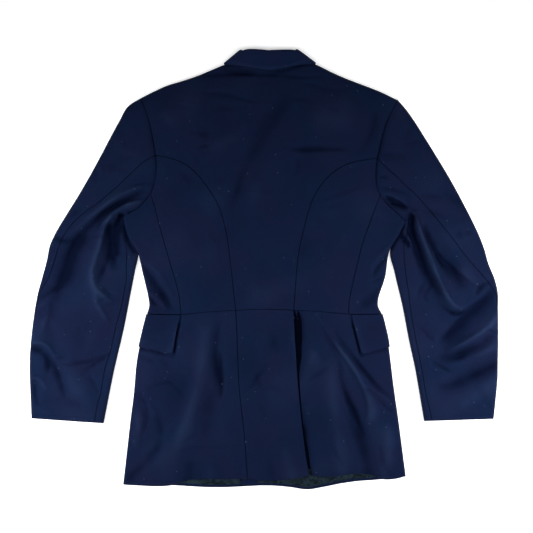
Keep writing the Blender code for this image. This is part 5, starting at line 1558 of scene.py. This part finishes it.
def bump(tree, height, relief, below=None):
    """A relief of the surface, on top of another one if there is one below."""
    distance, strength = relief
    made = node(tree, "ShaderNodeBump", Distance=distance, Strength=strength)
    tree.links.new(height, made.inputs["Height"])
    if below is not None:
        tree.links.new(below, made.inputs["Normal"])
    return made.outputs["Normal"]


def tinted(colour, tint):
    """A colour with each of its channels changed by a factor."""
    return tuple(channel * factor for channel, factor in zip(colour, tint)) + (1.0,)


def measure(tree, name):
    """One of the measures that every piece keeps for each of its points."""
    return node(tree, "ShaderNodeAttribute", attribute_name=name).outputs["Fac"]


def navy_wool(cloth, name):
    """Gabardine: a fine steep twill under a matt nap, with painted shade in folds and along seams, painted
    light on crests, and lint.
    """
    material, tree, shader = new_material(name)
    depth, gloss = WOOLS[name]
    grain = node(tree, "ShaderNodeUVMap", uv_map="grain").outputs["UV"]
    base = tuple(depth * share for share in cloth.wool_colour)
    patches = spread_of(tree, noise(tree, grain, *PATCHES), *PATCH_SHARE)
    mottle = noise(tree, grain, *MOTTLE)
    mottle_share = spread_of(tree, mottle, *MOTTLE_SHARE)
    painted_valley_shade = spread_of(tree, measure(tree, "fold"), *VALLEY_SHADE_SHARE)
    painted_ridge_light = spread_of(tree, measure(tree, "fold"), *RIDGE_LIGHT_SHARE)
    seams = spread_of(tree, measure(tree, "edge"), *SEAM_SHADE_SHARE)
    spots = node(tree, "ShaderNodeTexVoronoi", Scale=LINT_SCALE, Randomness=1.0)
    tree.links.new(grain, spots.inputs["Vector"])
    lint = spread_of(tree, spots.outputs["Distance"], *LINT_SHARE)
    colour = blend_colours(tree, patches, tinted(base, BLUE_TINT), tinted(base, PURPLE_TINT))
    colour = blend_colours(tree, mottle_share, tinted(base, MOTTLE_TINT), colour)
    # Painted shade in the creases' hollows.
    colour = blend_colours(tree, painted_valley_shade, colour, tinted(base, VALLEY_PAINTED_SHADE))
    # Painted highlight on the creases' crests.
    colour = blend_colours(tree, painted_ridge_light, colour, tinted(base, RIDGE_PAINTED_LIGHT))
    # Painted shade along the seams and edges.
    colour = blend_colours(tree, seams, colour, tinted(base, SEAM_PAINTED_SHADE))
    colour = blend_colours(tree, lint, colour, tuple(cloth.lint_colour) + (1.0,))
    tree.links.new(colour, shader.inputs["Base Color"])
    twill = node(tree, "ShaderNodeMapping", Rotation=(0.0, 0.0, TWILL_SLOPE))
    tree.links.new(grain, twill.inputs["Vector"])
    rib_scale = 2 * math.pi / WAVE_TURN / cloth.twill_pitch
    ribs = node(tree, "ShaderNodeTexWave", Scale=rib_scale, **TWILL_WANDER)
    tree.links.new(twill.outputs["Vector"], ribs.inputs["Vector"])
    relief = bump(tree, ribs.outputs["Fac"], TWILL_RELIEF)
    relief = bump(tree, noise(tree, grain, *NAP), NAP_RELIEF, relief)
    relief = bump(tree, noise(tree, grain, *RUMPLE), RUMPLE_RELIEF, relief)
    tree.links.new(relief, shader.inputs["Normal"])
    tree.links.new(spread_of(tree, mottle, *ROUGHNESS_SHARE), shader.inputs["Roughness"])
    shader.inputs["Specular IOR Level"].default_value = gloss * cloth.wool_gloss
    shader.inputs["Sheen Weight"].default_value = cloth.sheen
    shader.inputs["Sheen Roughness"].default_value = NAP_SHEEN_ROUGHNESS
    shader.inputs["Sheen Tint"].default_value = NAP_SHEEN
    shader.inputs["Specular Tint"].default_value = WOOL_SHINE
    return material


def lining_satin(cloth, name):
    """Thin grey-green satin with the fine crinkles of a lining that was pressed with the coat; painted shade
    darkens the crinkles' hollows and painted sheen lightens their crests.
    """
    material, tree, shader = new_material(name)
    grain = node(tree, "ShaderNodeUVMap", uv_map="grain").outputs["UV"]
    base = tuple(cloth.lining_colour)
    crinkles = noise(tree, grain, *CRINKLES)
    share = spread_of(tree, crinkles, *CRINKLE_SHARE)
    # Painted shade and painted sheen on the crinkles.
    colour = blend_colours(tree, share, tinted(base, SATIN_PAINTED_SHADE), tinted(base, SATIN_PAINTED_SHEEN))
    tree.links.new(colour, shader.inputs["Base Color"])
    relief = bump(tree, crinkles, CRINKLE_RELIEF)
    relief = bump(tree, noise(tree, grain, *THREADS), THREAD_RELIEF, relief)
    tree.links.new(relief, shader.inputs["Normal"])
    shader.inputs["Roughness"].default_value = SATIN_ROUGHNESS
    shader.inputs["Specular IOR Level"].default_value = SATIN_GLOSS
    shader.inputs["Specular Tint"].default_value = SATIN_SHINE
    return material


# Settings a user would change


class TunicCloth(bpy.types.PropertyGroup):
    """The cloth's make, creases and colours"""

    cell: FloatProperty(
        name="Cell", description="Size of the cloth's mesh cells",
        default=0.0026, min=0.0015, unit="LENGTH",
    )
    crease_strength: FloatProperty(
        name="Creases", description="Depth of the creases, as a multiple of their listed heights",
        default=2.0, min=0.0,
    )
    waviness: FloatProperty(
        name="Waviness", description="Height of the slight waves of the whole cloth",
        default=0.0009, unit="LENGTH",
    )
    edge_radius: FloatProperty(
        name="Edge radius", description="How far in from a seam or edge the cloth rolls down",
        default=0.0011, unit="LENGTH",
    )
    edge_roll: FloatProperty(
        name="Edge roll", description="How deep it rolls, as a share of its thickness",
        default=0.5, subtype="FACTOR",
    )
    wool_colour: FloatVectorProperty(
        name="Wool", description="Colour of the wool",
        default=(0.0041, 0.0081, 0.0266), size=3, subtype="COLOR",
    )
    lint_colour: FloatVectorProperty(
        name="Lint", description="Colour of the lint", default=(0.09, 0.11, 0.19), size=3, subtype="COLOR"
    )
    lining_colour: FloatVectorProperty(
        name="Lining", description="Colour of the satin",
        default=(0.0045, 0.0085, 0.0125), size=3, subtype="COLOR",
    )
    wool_gloss: FloatProperty(
        name="Wool gloss", description="Mirror share of the wool's surface", default=0.12, subtype="FACTOR"
    )
    sheen: FloatProperty(name="Sheen", description="Light caught by the nap", default=0.0, subtype="FACTOR")
    twill_pitch: FloatProperty(
        name="Twill pitch", description="Distance from one twill rib to the next",
        default=0.00056549, unit="LENGTH",
    )


class TunicStage(bpy.types.PropertyGroup):
    """The floor, the lights and the camera"""

    floor_glow: FloatProperty(
        name="Floor glow", description="Light that the floor gives off, as a lit table does",
        default=0.42, min=0.0,
    )
    floor_colour: FloatVectorProperty(
        name="Floor", description="Colour of the floor", default=(0.92, 0.92, 0.92), size=3, subtype="COLOR"
    )
    width: FloatProperty(
        name="View width", description="Width that the camera sees on the cloth",
        default=0.98605, unit="LENGTH",
    )
    lens: FloatProperty(
        name="Lens", description="Focal length in millimetres", default=85.0, unit="CAMERA"
    )
    side_power: FloatProperty(
        name="Sides", description="Power of the lamp on either side", default=3.5, unit="POWER"
    )
    side_distance: FloatProperty(
        name="Side distance", description="From the middle line", default=0.9, unit="LENGTH"
    )
    side_reach: FloatProperty(
        name="Side reach", description="Towards the hem side", default=0.2, unit="LENGTH"
    )
    side_height: FloatProperty(
        name="Side height", description="Above the floor", default=0.55, unit="LENGTH"
    )
    side_spread: FloatProperty(
        name="Side spread", description="Width of each beam", default=1.3, subtype="ANGLE"
    )
    side_size: FloatProperty(
        name="Side size", description="Width of each lamp", default=0.8, unit="LENGTH"
    )
    overhead_strength: FloatProperty(
        name="Overhead", description="Strength of the light from above", default=1.2, min=0.0
    )
    sky_strength: FloatProperty(
        name="Sky", description="Strength of the even light from all round", default=0.2, min=0.0
    )


# Operators

# The line set of each side, with its seams joined to the armhole.
LINE_SETS = {side: line_set(side) for side in LINES}

# How far each sleeve's grain leans from the body's.
SLEEVE_GRAIN = math.radians(22)

# The stage, in metres: the floor, the place that each side lamp looks at, the even light from above, and the
# place that the camera stands over.
FLOOR_SIZE = 7.0
FLOOR_DROP = 0.0006
FLOOR_CUTS = 3
FLOOR_ROUGHNESS = 0.9
WHITE = (1.0, 1.0, 1.0, 1.0)
SKY_COLOUR = (0.96, 0.98, 1.0, 1.0)
LAMP_AIM = (0.5, -0.18)
SUN_ELEVATION = math.radians(62)
SUN_BEARING = 0.0
SUN_WIDTH = math.radians(50)
CAMERA_PLACE = (0.0049, 0.0053)
CLOTH_HEIGHT = 0.009

# Each cloth's finish: how the names of its pieces begin, its material, what makes that, and its slot.
FINISHES = (
    ("lining", "lining_satin_cloth", lining_satin, "lining_satin"),
    # The pleat underlays take the darker copy of the wool, painted shade.
    ("pleat_underlay", "navy_wool_painted_shade_cloth", navy_wool, "navy_wool"),
    # The collar takes a lighter copy of the wool, painted light for what its slope turns away from the lamps.
    ("collar", "navy_wool_collar_painted_light_cloth", navy_wool, "navy_wool"),
    ("", "navy_wool_cloth", navy_wool, "navy_wool"),
)


def dress(names, turn=0.0):
    cloth = bpy.context.scene.tunic_cloth
    for name in names:
        _, title, maker, slot = next(row for row in FINISHES if name.startswith(row[0]))
        material = bpy.data.materials.get(title) or maker(cloth, title)
        piece = make_piece(name, cloth, material, turn)


class BackOperator(bpy.types.Operator):
    """Centre back and side backs, from the waist seam to the shoulders"""

    bl_idname = "tunic.back"
    bl_label = "Back"

    def execute(self, context):
        cut_back(LINE_SETS)
        dress(("back_centre", "back_side_left", "back_side_right"))
        return {"FINISHED"}


class SidePanelsOperator(bpy.types.Operator):
    """Panels under the arms, round the side folds"""

    bl_idname = "tunic.side_panels"
    bl_label = "Side panels"

    def execute(self, context):
        cut_side_panels(LINE_SETS)
        dress(("side_left", "side_right"))
        return {"FINISHED"}


class FrontsOperator(bpy.types.Operator):
    """Both fronts, which lie below"""

    bl_idname = "tunic.fronts"
    bl_label = "Fronts"

    def execute(self, context):
        cut_fronts(LINE_SETS)
        dress(("front_left", "front_right"))
        return {"FINISHED"}


class SkirtsOperator(bpy.types.Operator):
    """Skirts below the waist seam, with the pleat underlays, flaps and linings"""

    bl_idname = "tunic.skirts"
    bl_label = "Skirts"

    def execute(self, context):
        cut_skirts(LINE_SETS)
        dress(("skirt_back", "skirt_left", "skirt_right", "flap_left", "flap_right"))
        dress(("pleat_underlay_left", "pleat_underlay_right", "lining_left", "lining_right"))
        return {"FINISHED"}


class CollarOperator(bpy.types.Operator):
    """The collar's fall behind the neck and its leaves on the fronts"""

    bl_idname = "tunic.collar"
    bl_label = "Collar"

    def execute(self, context):
        cut_collar(LINE_SETS)
        dress(("collar",))
        return {"FINISHED"}


class SleevesOperator(bpy.types.Operator):
    """Two-piece sleeves"""

    bl_idname = "tunic.sleeves"
    bl_label = "Sleeves"

    def execute(self, context):
        cut_sleeves(LINE_SETS)
        dress(("top_sleeve_left", "under_sleeve_left"), -SLEEVE_GRAIN)
        dress(("top_sleeve_right", "under_sleeve_right"), SLEEVE_GRAIN)
        return {"FINISHED"}


class StageOperator(bpy.types.Operator):
    """Floor, lights and camera"""

    bl_idname = "tunic.stage"
    bl_label = "Stage"

    def execute(self, context):
        settings = context.scene.tunic_stage
        bpy.ops.object.select_all(action="DESELECT")
        bpy.ops.mesh.primitive_plane_add(size=FLOOR_SIZE, location=(0.0, 0.0, -FLOOR_DROP))
        floor = context.active_object
        floor.name = "floor"
        bpy.ops.object.mode_set(mode="EDIT")
        bpy.ops.mesh.subdivide(number_cuts=FLOOR_CUTS)
        bpy.ops.object.mode_set(mode="OBJECT")
        material, _, shader = new_material("floor_paper")
        shader.inputs["Base Color"].default_value = tuple(settings.floor_colour) + (1.0,)
        shader.inputs["Roughness"].default_value = FLOOR_ROUGHNESS
        shader.inputs["Emission Color"].default_value = WHITE
        shader.inputs["Emission Strength"].default_value = settings.floor_glow
        floor.data.materials.append(material)
        world = bpy.data.worlds.new("even_light")
        world.use_nodes = True
        background = world.node_tree.nodes["Background"]
        background.inputs["Color"].default_value = SKY_COLOUR
        background.inputs["Strength"].default_value = settings.sky_strength
        context.scene.world = world
        for name, side in (("left_light", -1), ("right_light", 1)):
            place = (side * settings.side_distance, -settings.side_reach, settings.side_height)
            add_lamp(name, place, (side * LAMP_AIM[0], LAMP_AIM[1], 0.0), settings)
        add_sun("overhead", settings.overhead_strength)
        camera = bpy.data.objects.new("camera", bpy.data.cameras.new("camera"))
        context.scene.collection.objects.link(camera)
        camera.data.lens = settings.lens
        distance = settings.width * settings.lens / camera.data.sensor_width
        camera.location = (*CAMERA_PLACE, distance + CLOTH_HEIGHT)
        context.scene.camera = camera
        context.scene.view_settings.view_transform = "Standard"
        return {"FINISHED"}


def add_lamp(name, place, aim, settings):
    """A round lamp with a soft beam."""
    lamp = bpy.data.lights.new(name, "AREA")
    lamp.shape = "DISK"
    lamp.size = settings.side_size
    lamp.energy = settings.side_power
    lamp.spread = settings.side_spread
    item = bpy.data.objects.new(name, lamp)
    item.location = place
    item.rotation_euler = (Vector(aim) - item.location).to_track_quat("-Z", "Y").to_euler()
    item.visible_camera = False
    bpy.context.scene.collection.objects.link(item)


def add_sun(name, strength):
    """An even light from high on one side. Its bearing is counted from the hem side, towards +X."""
    lamp = bpy.data.lights.new(name, "SUN")
    lamp.angle = SUN_WIDTH
    lamp.energy = strength
    item = bpy.data.objects.new(name, lamp)
    item.rotation_euler = (math.pi / 2 - SUN_ELEVATION, 0.0, SUN_BEARING)
    bpy.context.scene.collection.objects.link(item)


class TunicPanel(bpy.types.Panel):
    """Lists the tunic's settings and its operators"""

    bl_idname = "VIEW3D_PT_tunic"
    bl_label = "Dress tunic"
    bl_space_type = "VIEW_3D"
    bl_region_type = "UI"
    bl_category = "Tunic"

    def draw(self, context):
        for settings in (context.scene.tunic_cloth, context.scene.tunic_stage):
            for name in settings.__annotations__:
                self.layout.prop(settings, name)
        for operator in OPERATORS:
            self.layout.operator(operator.bl_idname)


OPERATORS = (
    BackOperator,
    SidePanelsOperator,
    FrontsOperator,
    SkirtsOperator,
    CollarOperator,
    SleevesOperator,
    StageOperator,
)
CLASSES = (TunicCloth, TunicStage, *OPERATORS, TunicPanel)


def register():
    """Adds the tunic's settings, operators and panel."""
    for item in CLASSES:
        bpy.utils.register_class(item)
    bpy.types.Scene.tunic_cloth = PointerProperty(type=TunicCloth)
    bpy.types.Scene.tunic_stage = PointerProperty(type=TunicStage)


def unregister():
    """Takes them away again."""
    del bpy.types.Scene.tunic_stage
    del bpy.types.Scene.tunic_cloth
    for item in reversed(CLASSES):
        bpy.utils.unregister_class(item)


def main():
    """Makes the whole tunic and its stage."""
    register()
    bpy.ops.tunic.back()
    bpy.ops.tunic.side_panels()
    bpy.ops.tunic.fronts()
    bpy.ops.tunic.skirts()
    bpy.ops.tunic.collar()
    bpy.ops.tunic.sleeves()
    bpy.ops.tunic.stage()


if __name__ == "__main__":
    main()
